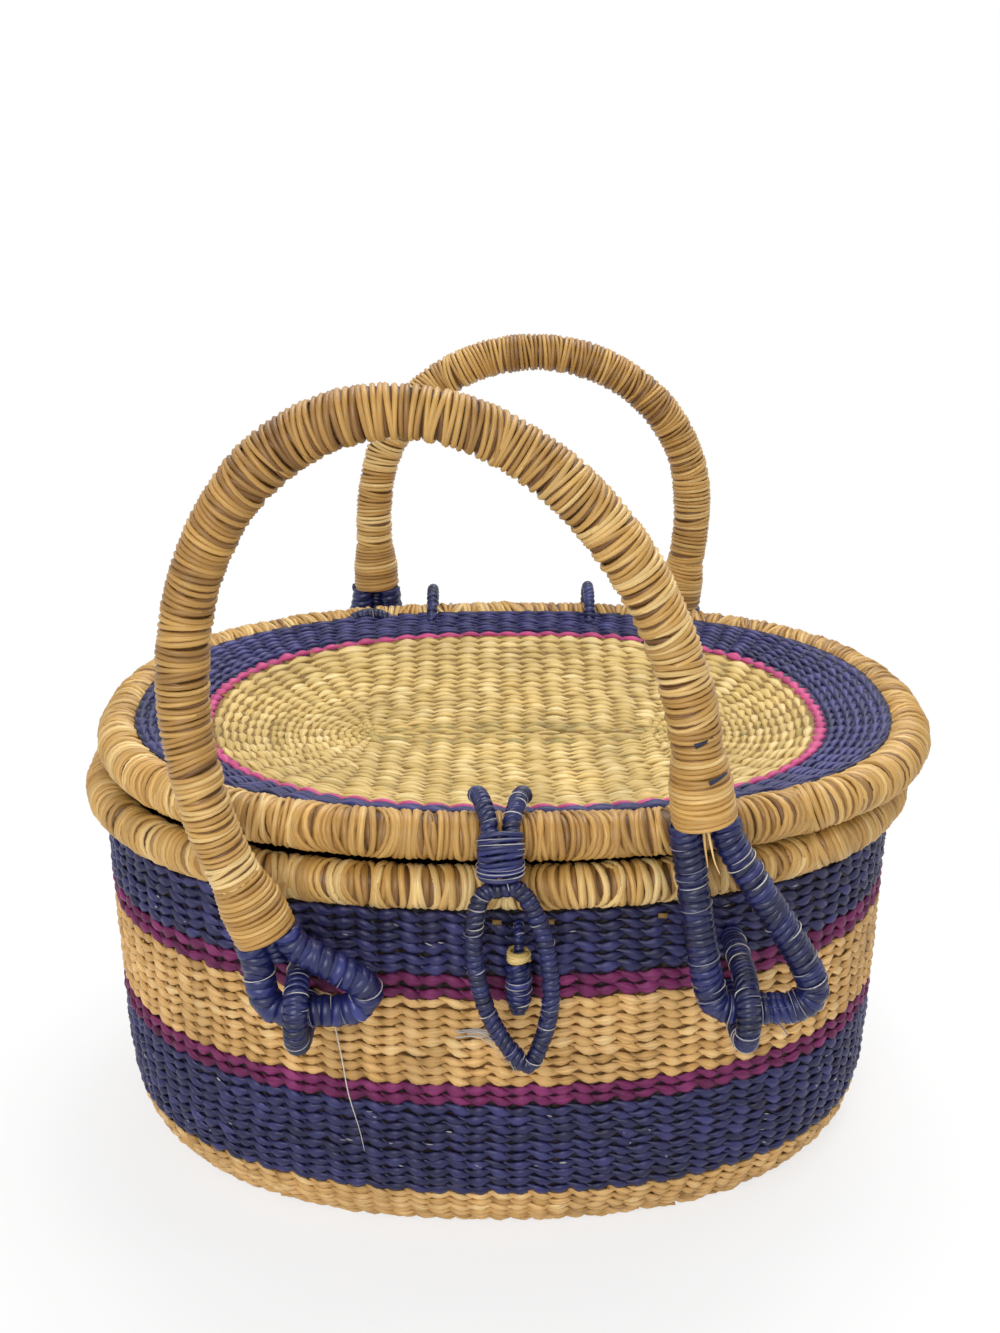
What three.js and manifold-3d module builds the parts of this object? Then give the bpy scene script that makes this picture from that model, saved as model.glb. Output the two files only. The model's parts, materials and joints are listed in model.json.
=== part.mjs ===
// Oval lidded basket of twined straw with two swinging arch handles and a loop and toggle clasp.
// Millimetres, +Z up. The origin is the middle of the underside of the base, and the front faces -Y.
import * as THREE from 'three';
import { mergeVertices } from 'three/addons/utils/BufferGeometryUtils.js';
import Module from 'manifold-3d';

const wasm = await Module();
wasm.setup();

// Plan of the basket: both rims follow one oval, between an ellipse and a rounded rectangle
const RIM_HALF_LENGTH = 198;
const RIM_HALF_DEPTH = 152;
const OVAL_POWER = 2.3;
const FACETS_ROUND = 36;
const STRAND_SIDES = 6;
const FITTINGS_X = 9; // the wall loops and hinges sit a little to the right of the middle
const LID_X = 8; // so does the lid on the basket

// Basket rim and wall
const RIM_HEIGHT = 186.5;
const RIM_HALF_WIDTH = 10.5;
const RIM_HALF_HEIGHT = 11.5;
const RIM_WRAP_THICKNESS = 3.6;
const WALL_FLARE = 2.5; // how far the wall stands outside the rim's centre line at the top
const FOOT_INSET = 17;
const FOOT_ROUNDING = 14;
const BAND_THICKNESS = 3.2;
const STAKE_THICKNESS = 3;
const BASE_THICKNESS = 6.5;
const STAKE_FOOT = 0.8; // the wall starts this far above the table
const FOOT_BAND_TOP = 25;
const LOWER_BLUE_HEIGHT = 50;
const LOWER_PURPLE_HEIGHT = 11;
const MIDDLE_HEIGHT = 45;
const UPPER_PURPLE_HEIGHT = 12;

// Lid
const LID_RIM_HALF_WIDTH = 11.5;
const LID_RIM_HALF_HEIGHT = 12.2;
const LID_RIM_WRAP_THICKNESS = 3.8;
const LID_THICKNESS = 6;
const LID_DISH = 22; // how far the middle of the lid lies below its edge
const LID_DISH_POWER = 3; // a higher power gives a flatter middle and a steeper edge
const LID_EDGE_TOP_ANGLE = 48; // where the lid meets its rim, in degrees above the rim's middle
const LID_EDGE_LOW_ANGLE = 15;
const LID_BORDER_END_WIDTH = 43; // from the rim's centre line in to the middle of the pink row
const LID_BORDER_SIDE_WIDTH = 28;
const ACCENT_WIDTH = 5; // the pink row
const SPINE_HALF_LENGTH = 72; // the straight line that the lid weave grows from
const SPINE_HALF_DEPTH = 3;

// Handles
const HANDLE_CORE_RADIUS = 8;
const HANDLE_WRAP_INNER = 9;
const HANDLE_WRAP_OUTER = 11.4;
const HANDLE_LEG = 58;
const HANDLE_END_HALF_SPAN = 94;
const HANDLE_LEAN = 1.5; // degrees, towards the lid
const CUFF_OUTER = 14;
const CUFF_LENGTH = 22;
const CUFF_TURNS = 5;
const WRAP_TURNS = 23;
const WINDING_GAP = 1.5;
const CUFF_WINDING_GAP = 0.9;
const WINDING_STEPS = 8; // facets round one turn
const WINDING_LEAST_BAND = 0.15; // a winding narrows to this at its ends, which closes it off square
// The middle between a handle's ends stands endHeight above the middle of the basket rim
const FRONT_HANDLE = { halfWidth: 100, archHeight: 139, x: -7, endHeight: 15, tilt: 15.5 };
const BACK_HANDLE = { halfWidth: 97, archHeight: 93, x: 20, endHeight: 31, tilt: -3.6 };

// Rings on the handles and the wall loops that hold them
const RING_RADIUS = 7.2;
const RING_HALF_WIDTH = 22;
const RING_BEND = 10;
const RING_SHIFT = 7; // the rings hang a little to the right in their wall loops
const RING_LEG_OFFSET = 8.4; // the two legs side by side where they enter the cuff
const RING_BAR_DROP = 46; // below the middle of the basket rim
const WALL_LOOP_RADIUS = 5.6;
const WALL_LOOP_OUTSET = 0.5; // how far the wall loops stand outside the ends of the handles

// Hinge loops
const HINGE_LOOP_RADIUS = 3.5;
const HINGE_HALF_SPACING = 47;
const HINGE_ROOT_DROP = 24; // below the middle of the basket rim
const HINGE_TURNING_ROOM = 1.2;

// Clasp and toggle
const CLASP_X = 0;
const STRAP_RADIUS = 4.2;
const STRAP_HALF_SPACING = 4.6;
const HORN_HALF_SPACING = 10.5;
const HORN_ANGLE = 122; // where the straps start, in degrees round the lid rim from its front
const STRAP_STANDOFF = 1.06; // the straps follow the lid rim a little way off
const BINDING_THICKNESS = 3.2;
const BINDING_HEIGHT = 8;
const STRAP_TAIL = 2.5; // how far the straps reach below their binding
const CLASP_LOOP_RADIUS = 4.2;
const CLASP_LOOP_TILT = 8; // degrees, its point to the right
const CLASP_LOOP_LENGTH = 86;
const CLASP_LOOP_HALF_WIDTH = 15.5;
const CLASP_LOOP_TOP_HALF_WIDTH = 8;
const CLASP_LOOP_SHOULDER = 2; // from the loop's top down to its shoulders
const TOGGLE_X = 8;
const TOGGLE_RADIUS = 6;
const TOGGLE_LENGTH = 33; // short enough to swing through the loop
const TOGGLE_NECK_RADIUS = 2.6;
const TOGGLE_BINDING_LENGTH = 6;
const TOGGLE_NECK_ROOM = 1.8; // bare neck above the binding, which clears the cord when the toggle swings
const TOGGLE_CORD_RADIUS = 2.4;
const TOGGLE_DROP = 4; // from the cord's root to its lower end

// Clearances
const SEAT_GAP = 0.4; // between pieces that touch on the real basket
const LAYER_GAP = 0.3; // between layers of one wall
const RUNNING_GAP = 0.5; // between a handle and the rims
const RING_ROOM = 0.8; // round a ring in its loop, where their facets pass as the handle swings

// Heights and distances that follow from the sizes above
const WALL_LOOP_HALF_SPACING = HANDLE_END_HALF_SPAN + WALL_LOOP_OUTSET;
const ACCENT_HALF_LENGTH = RIM_HALF_LENGTH - LID_BORDER_END_WIDTH;
const ACCENT_HALF_DEPTH = RIM_HALF_DEPTH - LID_BORDER_SIDE_WIDTH;
const LOWER_BLUE_TOP = FOOT_BAND_TOP + LOWER_BLUE_HEIGHT;
const LOWER_PURPLE_TOP = LOWER_BLUE_TOP + LOWER_PURPLE_HEIGHT;
const MIDDLE_TOP = LOWER_PURPLE_TOP + MIDDLE_HEIGHT;
const UPPER_PURPLE_TOP = MIDDLE_TOP + UPPER_PURPLE_HEIGHT;
const LID_HEIGHT = RIM_HEIGHT + RIM_HALF_HEIGHT + SEAT_GAP + LID_RIM_HALF_HEIGHT;
// The lid turns about a line behind its rim, so that its rim stays off the basket rim when it stands open
const HINGE_OUTSET = Math.max(0, LID_RIM_HALF_WIDTH - LID_RIM_HALF_HEIGHT);
const HINGE_DEPTH = RIM_HALF_DEPTH + HINGE_OUTSET;
const HINGE_ROOT_HEIGHT = RIM_HEIGHT - HINGE_ROOT_DROP;
const RING_BAR_HEIGHT = RIM_HEIGHT - RING_BAR_DROP;
const HINGE_XS = [FITTINGS_X - HINGE_HALF_SPACING, FITTINGS_X + HINGE_HALF_SPACING];
const STRAP_DEPTH = RIM_HALF_DEPTH + LID_RIM_HALF_WIDTH + BINDING_THICKNESS + STRAP_RADIUS + LAYER_GAP;
const STRAP_END_HEIGHT = LID_HEIGHT - BINDING_HEIGHT - STRAP_TAIL;
const CLASP_AXIS_HEIGHT = STRAP_END_HEIGHT - SEAT_GAP - CLASP_LOOP_RADIUS;
const TOGGLE_DEPTH = STRAP_DEPTH - CLASP_LOOP_RADIUS - SEAT_GAP - TOGGLE_RADIUS;
const TOGGLE_CORD_HEIGHT = RIM_HEIGHT - RIM_HALF_HEIGHT - SEAT_GAP - 2 * TOGGLE_CORD_RADIUS;
const TOGGLE_AXIS_HEIGHT = TOGGLE_CORD_HEIGHT - TOGGLE_DROP - SEAT_GAP - TOGGLE_NECK_RADIUS;

const STRAW_NATURAL = new THREE.MeshStandardMaterial({ color: '#cfa463', roughness: 0.55, metalness: 0 });
const STRAW_PALE = new THREE.MeshStandardMaterial({ color: '#dcbd83', roughness: 0.6, metalness: 0 });
const STRAW_BLUE = new THREE.MeshStandardMaterial({ color: '#2f3168', roughness: 0.55, metalness: 0 });
const STRAW_PURPLE = new THREE.MeshStandardMaterial({ color: '#6a2556', roughness: 0.6, metalness: 0 });
const STRAW_PINK = new THREE.MeshStandardMaterial({ color: '#cf4b86', roughness: 0.6, metalness: 0 });
const STRAW_CORE = new THREE.MeshStandardMaterial({ color: '#b08a52', roughness: 0.7, metalness: 0 });

const basket = new THREE.Group();
const lid = new THREE.Group();
lid.position.x = LID_X;
basket.add(lid);

function addPiece(name, geometry, material, group = basket) {
  const mesh = new THREE.Mesh(geometry, material);
  mesh.name = name;
  group.add(mesh);
}

function radians(degrees) {
  return THREE.MathUtils.degToRad(degrees);
}

// Point of an oval at one of its facets' corners
function ovalPoint(halfLength, halfDepth, corner, corners = FACETS_ROUND) {
  const turn = (2 * Math.PI * corner) / corners;
  const c = Math.cos(turn);
  const s = Math.sin(turn);
  const power = 2 / OVAL_POWER;
  return [
    halfLength * Math.sign(c) * Math.abs(c) ** power,
    halfDepth * Math.sign(s) * Math.abs(s) ** power,
  ];
}

// Depth of an oval at a place along its length
function ovalDepth(halfLength, halfDepth, x) {
  return halfDepth * (1 - (Math.abs(x) / halfLength) ** OVAL_POWER) ** (1 / OVAL_POWER);
}

// Body from corners and triangles, with its faces turned outwards
function closedBody(corners, triangles) {
  const [a, b, c] = [new THREE.Vector3(), new THREE.Vector3(), new THREE.Vector3()];
  let volume = 0;
  for (const [i, j, k] of triangles) {
    a.fromArray(corners[i]);
    b.fromArray(corners[j]);
    c.fromArray(corners[k]);
    volume += a.dot(b.cross(c));
  }
  const outward = volume > 0 ? triangles : triangles.map(([i, j, k]) => [i, k, j]);
  const geometry = new THREE.BufferGeometry();
  geometry.setAttribute('position', new THREE.Float32BufferAttribute(corners.flat(), 3));
  geometry.setIndex(outward.flat());
  geometry.computeVertexNormals();
  return geometry;
}

// Triangles between neighbouring sections of a swept body, each a closed loop of as many corners
function sweptTriangles(sections, cornersEach, closed) {
  const triangles = [];
  const spans = closed ? sections : sections - 1;
  for (let i = 0; i < spans; i += 1) {
    const here = i * cornersEach;
    const next = ((i + 1) % sections) * cornersEach;
    for (let j = 0; j < cornersEach; j += 1) {
      const k = (j + 1) % cornersEach;
      triangles.push([here + j, here + k, next + k], [here + j, next + k, next + j]);
    }
  }
  return triangles;
}

// Ring round the oval: the section's corners each give a half length, a half depth and a height
function ovalRing(section) {
  const corners = [];
  for (let i = 0; i < FACETS_ROUND; i += 1) {
    for (const { halfLength, halfDepth, z } of section) {
      corners.push([...ovalPoint(halfLength, halfDepth, i), z]);
    }
  }
  return closedBody(corners, sweptTriangles(FACETS_ROUND, section.length, true));
}

// Oval panel: the profile runs from the middle of the top, over the edge, to the middle of the underside
function ovalPanel(profile, topHeight, undersideHeight) {
  const corners = [];
  for (const { halfLength, halfDepth, z } of profile) {
    for (let i = 0; i < FACETS_ROUND; i += 1) {
      corners.push([...ovalPoint(halfLength, halfDepth, i), z]);
    }
  }
  const triangles = sweptTriangles(profile.length, FACETS_ROUND, false);
  const top = corners.push([0, 0, topHeight]) - 1;
  const underside = corners.push([0, 0, undersideHeight]) - 1;
  const last = (profile.length - 1) * FACETS_ROUND;
  for (let i = 0; i < FACETS_ROUND; i += 1) {
    const k = (i + 1) % FACETS_ROUND;
    triangles.push([top, k, i], [underside, last + i, last + k]);
  }
  return closedBody(corners, triangles);
}

// Corner of a ring's section, as an offset from the rims' centre line
function offsetCorner(offset, z) {
  return { halfLength: RIM_HALF_LENGTH + offset, halfDepth: RIM_HALF_DEPTH + offset, z };
}

function polygon(sides, radius) {
  const shape = new THREE.Shape();
  const points = [];
  for (let i = 0; i < sides; i += 1) {
    const turn = (2 * Math.PI * i) / sides;
    points.push(new THREE.Vector2(radius * Math.cos(turn), radius * Math.sin(turn)));
  }
  return shape.setFromPoints(points);
}

// Straw strand along a smooth curve
function strand(curve, radius, sides, steps) {
  const options = { extrudePath: curve, steps, bevelEnabled: false };
  return new THREE.ExtrudeGeometry(polygon(sides, radius), options);
}

// Wall
function wallOffset(z) {
  return (WALL_FLARE * z) / RIM_HEIGHT - FOOT_INSET * Math.exp(-z / FOOT_ROUNDING);
}

function wallDepth(x, z, inset = 0) {
  const offset = wallOffset(z) - inset;
  return ovalDepth(RIM_HALF_LENGTH + offset, RIM_HALF_DEPTH + offset, x);
}

// Where a strand's end stands just clear of the sloping wall, outside or inside it
function outsideSeat(x, z, radius) {
  return Math.max(wallDepth(x - radius, z), wallDepth(x + radius, z)) + LAYER_GAP;
}

function insideSeat(x, z, radius) {
  return Math.min(wallDepth(x - radius, z, stakeInner), wallDepth(x + radius, z, stakeInner)) - SEAT_GAP;
}

function shell(heights, outerInset, innerInset) {
  const outside = heights.map((z) => offsetCorner(wallOffset(z) - outerInset, z));
  const inside = heights.map((z) => offsetCorner(wallOffset(z) - innerInset, z));
  return ovalRing([...outside, ...inside.reverse()]);
}

const stakeOuter = BAND_THICKNESS + LAYER_GAP;
const stakeInner = stakeOuter + STAKE_THICKNESS;
const rimCoreHalfHeight = RIM_HALF_HEIGHT - RIM_WRAP_THICKNESS - LAYER_GAP;
const rimCoreHalfWidth = RIM_HALF_WIDTH - RIM_WRAP_THICKNESS - LAYER_GAP;
const bandTop = RIM_HEIGHT - RIM_HALF_HEIGHT - SEAT_GAP;
const stakeTop = RIM_HEIGHT - rimCoreHalfHeight - SEAT_GAP;
const footHeights = [STAKE_FOOT, FOOT_ROUNDING / 2, FOOT_ROUNDING, 2 * FOOT_ROUNDING];
const stakeHeights = [...footHeights, RIM_HEIGHT / 2, stakeTop];
addPiece('stake_cage', shell(stakeHeights, stakeOuter, stakeInner), STRAW_CORE);

const bands = [
  ['band_foot_natural', STAKE_FOOT, FOOT_BAND_TOP, STRAW_NATURAL],
  ['band_lower_blue', FOOT_BAND_TOP, LOWER_BLUE_TOP, STRAW_BLUE],
  ['band_lower_purple', LOWER_BLUE_TOP, LOWER_PURPLE_TOP, STRAW_PURPLE],
  ['band_middle_natural', LOWER_PURPLE_TOP, MIDDLE_TOP, STRAW_NATURAL],
  ['band_upper_purple', MIDDLE_TOP, UPPER_PURPLE_TOP, STRAW_PURPLE],
  ['band_upper_blue', UPPER_PURPLE_TOP, bandTop, STRAW_BLUE],
];
for (const [name, low, high, material] of bands) {
  const top = high === bandTop ? high : high - LAYER_GAP;
  const heights = [low, ...stakeHeights.filter((z) => z > low && z < top), top];
  addPiece(name, shell(heights, 0, BAND_THICKNESS), material);
}

const baseOffset = wallOffset(STAKE_FOOT) - stakeInner - SEAT_GAP;
const baseEdge = offsetCorner(baseOffset, BASE_THICKNESS);
const baseFoot = offsetCorner(baseOffset, 0);
addPiece('base_panel', ovalPanel([baseEdge, baseFoot], BASE_THICKNESS, 0), STRAW_NATURAL);

// Rims: a bundle inside a wrapping that is open along one slit, where the stakes or the lid go in
function rimCore(halfWidth, halfHeight, z) {
  const sides = 6;
  const section = [];
  for (let i = 0; i < sides; i += 1) {
    const turn = (2 * Math.PI * i) / sides;
    section.push(offsetCorner(halfWidth * Math.cos(turn), z + halfHeight * Math.sin(turn)));
  }
  return ovalRing(section);
}

function rimWrap(halfWidth, halfHeight, thickness, z, slitAngle, slitHalfAngle) {
  const outerSides = 9;
  const innerSides = 5;
  const section = [];
  const start = radians(slitAngle + slitHalfAngle);
  const sweep = 2 * Math.PI - 2 * radians(slitHalfAngle);
  for (let i = 0; i <= outerSides; i += 1) {
    const turn = start + (sweep * i) / outerSides;
    section.push(offsetCorner(halfWidth * Math.cos(turn), z + halfHeight * Math.sin(turn)));
  }
  for (let i = innerSides; i >= 0; i -= 1) {
    const turn = start + (sweep * i) / innerSides;
    const width = halfWidth - thickness;
    const height = halfHeight - thickness;
    section.push(offsetCorner(width * Math.cos(turn), z + height * Math.sin(turn)));
  }
  return ovalRing(section);
}

const CORE_FIT = 0.8; // the bundle fills the wrapping's faceted bore
const stakeMiddle = wallOffset(stakeTop) - (stakeOuter + stakeInner) / 2;
// The slit leaves room for the stakes at the wrapping's bore and at its outside
const rimHalfWidths = [RIM_HALF_WIDTH, RIM_HALF_WIDTH - RIM_WRAP_THICKNESS];
function slitAngles(offset) {
  return rimHalfWidths.map((width) => THREE.MathUtils.radToDeg(Math.asin(offset / width)));
}

const slitHalf = STAKE_THICKNESS / 2 + SEAT_GAP;
const slitInside = Math.min(...slitAngles(stakeMiddle - slitHalf));
const slitOutside = Math.max(...slitAngles(stakeMiddle + slitHalf));
const stakeSlitAngle = -90 + (slitInside + slitOutside) / 2;
const stakeSlitHalfAngle = (slitOutside - slitInside) / 2;
addPiece(
  'basket_rim_wrap',
  rimWrap(
    RIM_HALF_WIDTH,
    RIM_HALF_HEIGHT,
    RIM_WRAP_THICKNESS,
    RIM_HEIGHT,
    stakeSlitAngle,
    stakeSlitHalfAngle,
  ),
  STRAW_NATURAL,
);
addPiece(
  'basket_rim_core',
  rimCore(rimCoreHalfWidth * CORE_FIT, rimCoreHalfHeight * CORE_FIT, RIM_HEIGHT),
  STRAW_CORE,
);

const lidSlitAngle = 180 - (LID_EDGE_TOP_ANGLE + LID_EDGE_LOW_ANGLE) / 2;
const lidSlitHalfAngle = (LID_EDGE_TOP_ANGLE - LID_EDGE_LOW_ANGLE) / 4;
const lidCoreHalfWidth = LID_RIM_HALF_WIDTH - LID_RIM_WRAP_THICKNESS - LAYER_GAP;
const lidCoreHalfHeight = LID_RIM_HALF_HEIGHT - LID_RIM_WRAP_THICKNESS - LAYER_GAP;
addPiece(
  'lid_rim_wrap',
  rimWrap(
    LID_RIM_HALF_WIDTH,
    LID_RIM_HALF_HEIGHT,
    LID_RIM_WRAP_THICKNESS,
    LID_HEIGHT,
    lidSlitAngle,
    lidSlitHalfAngle,
  ),
  STRAW_NATURAL,
  lid,
);
addPiece(
  'lid_rim_core',
  rimCore(lidCoreHalfWidth * CORE_FIT, lidCoreHalfHeight * CORE_FIT, LID_HEIGHT),
  STRAW_CORE,
  lid,
);

// Lid panel: a dish that meets its rim along a curved edge
function lidEdgeCorner(angle) {
  const turn = radians(angle);
  const width = LID_RIM_HALF_WIDTH + SEAT_GAP;
  const height = LID_RIM_HALF_HEIGHT + SEAT_GAP;
  return offsetCorner(-width * Math.cos(turn), LID_HEIGHT + height * Math.sin(turn));
}

const lidEdgeTop = lidEdgeCorner(LID_EDGE_TOP_ANGLE);
const lidEdgeLow = lidEdgeCorner(LID_EDGE_LOW_ANGLE);
const lidEdgeMiddle = lidEdgeCorner((LID_EDGE_TOP_ANGLE + LID_EDGE_LOW_ANGLE) / 2);

function lidSurface(halfLength, halfDepth, sink) {
  const dip = LID_DISH * (1 - (halfDepth / lidEdgeTop.halfDepth) ** LID_DISH_POWER);
  return { halfLength, halfDepth, z: lidEdgeTop.z - dip - sink };
}

function lidRing(outer, inner, outerEdge) {
  const top = [lidSurface(...inner, 0)];
  const underside = [lidSurface(...inner, LID_THICKNESS)];
  const edge = outerEdge ?? [lidSurface(...outer, 0), lidSurface(...outer, LID_THICKNESS)];
  return ovalRing([...top, ...edge, ...underside]);
}

const accentOuter = [ACCENT_HALF_LENGTH + ACCENT_WIDTH / 2, ACCENT_HALF_DEPTH + ACCENT_WIDTH / 2];
const accentInner = [ACCENT_HALF_LENGTH - ACCENT_WIDTH / 2, ACCENT_HALF_DEPTH - ACCENT_WIDTH / 2];
const centreEdge = accentInner.map((half) => half - LAYER_GAP);
const borderEdge = accentOuter.map((half) => half + LAYER_GAP);
addPiece('lid_accent_row', lidRing(accentOuter, accentInner), STRAW_PINK, lid);

const spine = [SPINE_HALF_LENGTH, SPINE_HALF_DEPTH];
const CENTRE_RINGS = 5;
const centreTop = [];
for (let i = 0; i <= CENTRE_RINGS; i += 1) {
  const share = i / CENTRE_RINGS;
  centreTop.push([
    THREE.MathUtils.lerp(spine[0], centreEdge[0], share),
    THREE.MathUtils.lerp(spine[1], centreEdge[1], share),
  ]);
}
const centreProfile = [
  ...centreTop.map((half) => lidSurface(...half, 0)),
  ...centreTop.reverse().map((half) => lidSurface(...half, LID_THICKNESS)),
];
const spineHeight = lidSurface(...spine, 0).z;
const centreSolid = ovalPanel(centreProfile, spineHeight, spineHeight - LID_THICKNESS);
addPiece('lid_panel_centre', centreSolid, STRAW_PALE, lid);

// Solid for cutting, from a geometry whose shared corners are merged
function toSolid(geometry) {
  const bare = geometry.clone();
  bare.deleteAttribute('normal');
  bare.deleteAttribute('uv');
  const merged = mergeVertices(bare);
  return new wasm.Manifold(
    new wasm.Mesh({
      numProp: 3,
      vertProperties: new Float32Array(merged.attributes.position.array),
      triVerts: new Uint32Array(merged.index.array),
    }),
  );
}

function toGeometry(solid) {
  const mesh = solid.getMesh();
  const geometry = new THREE.BufferGeometry();
  geometry.setAttribute('position', new THREE.Float32BufferAttribute(mesh.vertProperties, 3));
  geometry.setIndex(Array.from(mesh.triVerts));
  geometry.computeVertexNormals();
  return geometry;
}

// Hinge loops: each goes over the lid rim, down both sides of the basket rim and into the wall
function hingeLidRoom(x) {
  const farthest = Math.max(Math.abs(x), Math.abs(x - LID_X));
  const rimDepth = ovalDepth(RIM_HALF_LENGTH, RIM_HALF_DEPTH, farthest);
  return HINGE_DEPTH - rimDepth + LID_RIM_HALF_WIDTH + HINGE_TURNING_ROOM;
}

function hingeLoop(x) {
  const reach = hingeLidRoom(x) + HINGE_LOOP_RADIUS;
  const insideWall = insideSeat(x, HINGE_ROOT_HEIGHT, HINGE_LOOP_RADIUS) - SEAT_GAP;
  const outsideWall = outsideSeat(x, HINGE_ROOT_HEIGHT, HINGE_LOOP_RADIUS);
  const points = [
    new THREE.Vector3(x, insideWall, HINGE_ROOT_HEIGHT),
    new THREE.Vector3(x, insideWall - HINGE_LOOP_RADIUS, HINGE_ROOT_HEIGHT),
    new THREE.Vector3(x, HINGE_DEPTH - reach, RIM_HEIGHT),
  ];
  const ARC_POINTS = 6;
  for (let i = 0; i <= ARC_POINTS; i += 1) {
    const turn = Math.PI * (1 - i / ARC_POINTS);
    const depth = HINGE_DEPTH + reach * Math.cos(turn);
    points.push(new THREE.Vector3(x, depth, LID_HEIGHT + reach * Math.sin(turn)));
  }
  points.push(
    new THREE.Vector3(x, HINGE_DEPTH + reach - HINGE_LOOP_RADIUS, RIM_HEIGHT),
    new THREE.Vector3(x, outsideWall + HINGE_LOOP_RADIUS, HINGE_ROOT_HEIGHT),
    new THREE.Vector3(x, outsideWall, HINGE_ROOT_HEIGHT),
  );
  return strand(new THREE.CatmullRomCurve3(points), HINGE_LOOP_RADIUS, STRAND_SIDES, 22);
}

let border = toSolid(lidRing(null, borderEdge, [lidEdgeTop, lidEdgeMiddle, lidEdgeLow]));
for (const x of HINGE_XS) {
  const width = 2 * (HINGE_LOOP_RADIUS + HINGE_TURNING_ROOM);
  const reach = hingeLidRoom(x) + 2 * HINGE_LOOP_RADIUS + HINGE_TURNING_ROOM + SEAT_GAP;
  const notch = new THREE.BoxGeometry(width, reach, 4 * LID_RIM_HALF_HEIGHT);
  notch.translate(x - LID_X, HINGE_DEPTH - reach / 2, LID_HEIGHT);
  border = border.subtract(toSolid(notch));
}
addPiece('lid_panel_border', toGeometry(border), STRAW_BLUE, lid);
addPiece('hinge_loop_left', hingeLoop(HINGE_XS[0]), STRAW_BLUE);
addPiece('hinge_loop_right', hingeLoop(HINGE_XS[1]), STRAW_BLUE);

// Handles. A handle stands in a plane that leans a little towards the lid, and is tilted in that plane.
function handleOutline(handle) {
  const { halfWidth, archHeight, x, endHeight, tilt } = handle;
  const flat = [[-HANDLE_END_HALF_SPAN, 0]];
  const ARC_POINTS = 8;
  for (let i = 0; i <= ARC_POINTS; i += 1) {
    const turn = Math.PI * (1 - i / ARC_POINTS);
    flat.push([halfWidth * Math.cos(turn), HANDLE_LEG + archHeight * Math.sin(turn)]);
  }
  flat.push([HANDLE_END_HALF_SPAN, 0]);
  const c = Math.cos(radians(tilt));
  const s = Math.sin(radians(tilt));
  return flat.map(([u, w]) => [x + u * c - w * s, RIM_HEIGHT + endHeight + u * s + w * c]);
}

// Least distance from the middle of the basket at which a handle clears both rims
function handleStandoff(outline) {
  const reach = LID_RIM_HALF_WIDTH + CUFF_OUTER + RUNNING_GAP;
  const rimTop = LID_HEIGHT + LID_RIM_HALF_HEIGHT + CUFF_OUTER;
  const legXs = outline.filter(([, z]) => z < rimTop + HANDLE_LEG).map(([x]) => x);
  const SAMPLES = 720;
  let standoff = 0;
  for (let i = 0; i < SAMPLES; i += 1) {
    const [rimX, rimY] = ovalPoint(RIM_HALF_LENGTH, RIM_HALF_DEPTH, i, SAMPLES);
    for (const x of legXs) {
      const across = Math.min(Math.abs(x - rimX), Math.abs(x - rimX - LID_X));
      if (across < reach) {
        standoff = Math.max(standoff, rimY + Math.sqrt(reach ** 2 - across ** 2));
      }
    }
  }
  return standoff;
}

// Strand wound round a curve that lies in a plane: its section is a flat band
function winding(curve, planeNormal, { start, end, turns, gap, inner, outer }) {
  const length = curve.getLength();
  const pitch = (end - start) / turns;
  const halfBand = (pitch - gap) / 2;
  const surfacePoint = (distance, turn, radius) => {
    const share = THREE.MathUtils.clamp(distance / length, 0, 1);
    const across = new THREE.Vector3().crossVectors(planeNormal, curve.getTangentAt(share)).normalize();
    const point = curve.getPointAt(share);
    point.addScaledVector(across, radius * Math.cos(turn));
    return point.addScaledVector(planeNormal, radius * Math.sin(turn));
  };
  const steps = turns * WINDING_STEPS;
  const narrowing = halfBand - gap / 2 - WINDING_LEAST_BAND;
  const runOut = Math.floor((WINDING_STEPS * narrowing) / pitch);
  const sections = [];
  for (let i = -runOut; i <= steps + runOut; i += 1) {
    const turn = (2 * Math.PI * i) / WINDING_STEPS;
    const middle = start + (pitch * i) / WINDING_STEPS;
    const low = Math.max(start + gap / 2, middle - halfBand);
    const high = Math.min(end - gap / 2, middle + halfBand);
    sections.push([
      surfacePoint(low, turn, inner),
      surfacePoint(high, turn, inner),
      surfacePoint(high, turn, outer),
      surfacePoint(low, turn, outer),
    ]);
  }
  const corners = sections.flat().map((point) => point.toArray());
  const triangles = sweptTriangles(sections.length, 4, false);
  const last = (sections.length - 1) * 4;
  triangles.push([0, 2, 1], [0, 3, 2], [last, last + 1, last + 2], [last, last + 2, last + 3]);
  return { geometry: closedBody(corners, triangles), sections };
}

// Least gap between one turn of a winding and the next, measured on its corners
function leastGap(sections) {
  let least = Infinity;
  for (let i = 0; i < sections.length; i += 1) {
    for (let j = i + WINDING_STEPS / 2; j < Math.min(sections.length, i + 2 * WINDING_STEPS); j += 1) {
      for (const here of sections[i]) {
        for (const there of sections[j]) {
          least = Math.min(least, here.distanceTo(there));
        }
      }
    }
  }
  return least;
}

function addWinding(name, curve, planeNormal, sizes) {
  const { geometry, sections } = winding(curve, planeNormal, sizes);
  console.log(`${name}: least gap between turns ${leastGap(sections).toFixed(2)} mm`);
  addPiece(name, geometry, STRAW_NATURAL);
}

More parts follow.
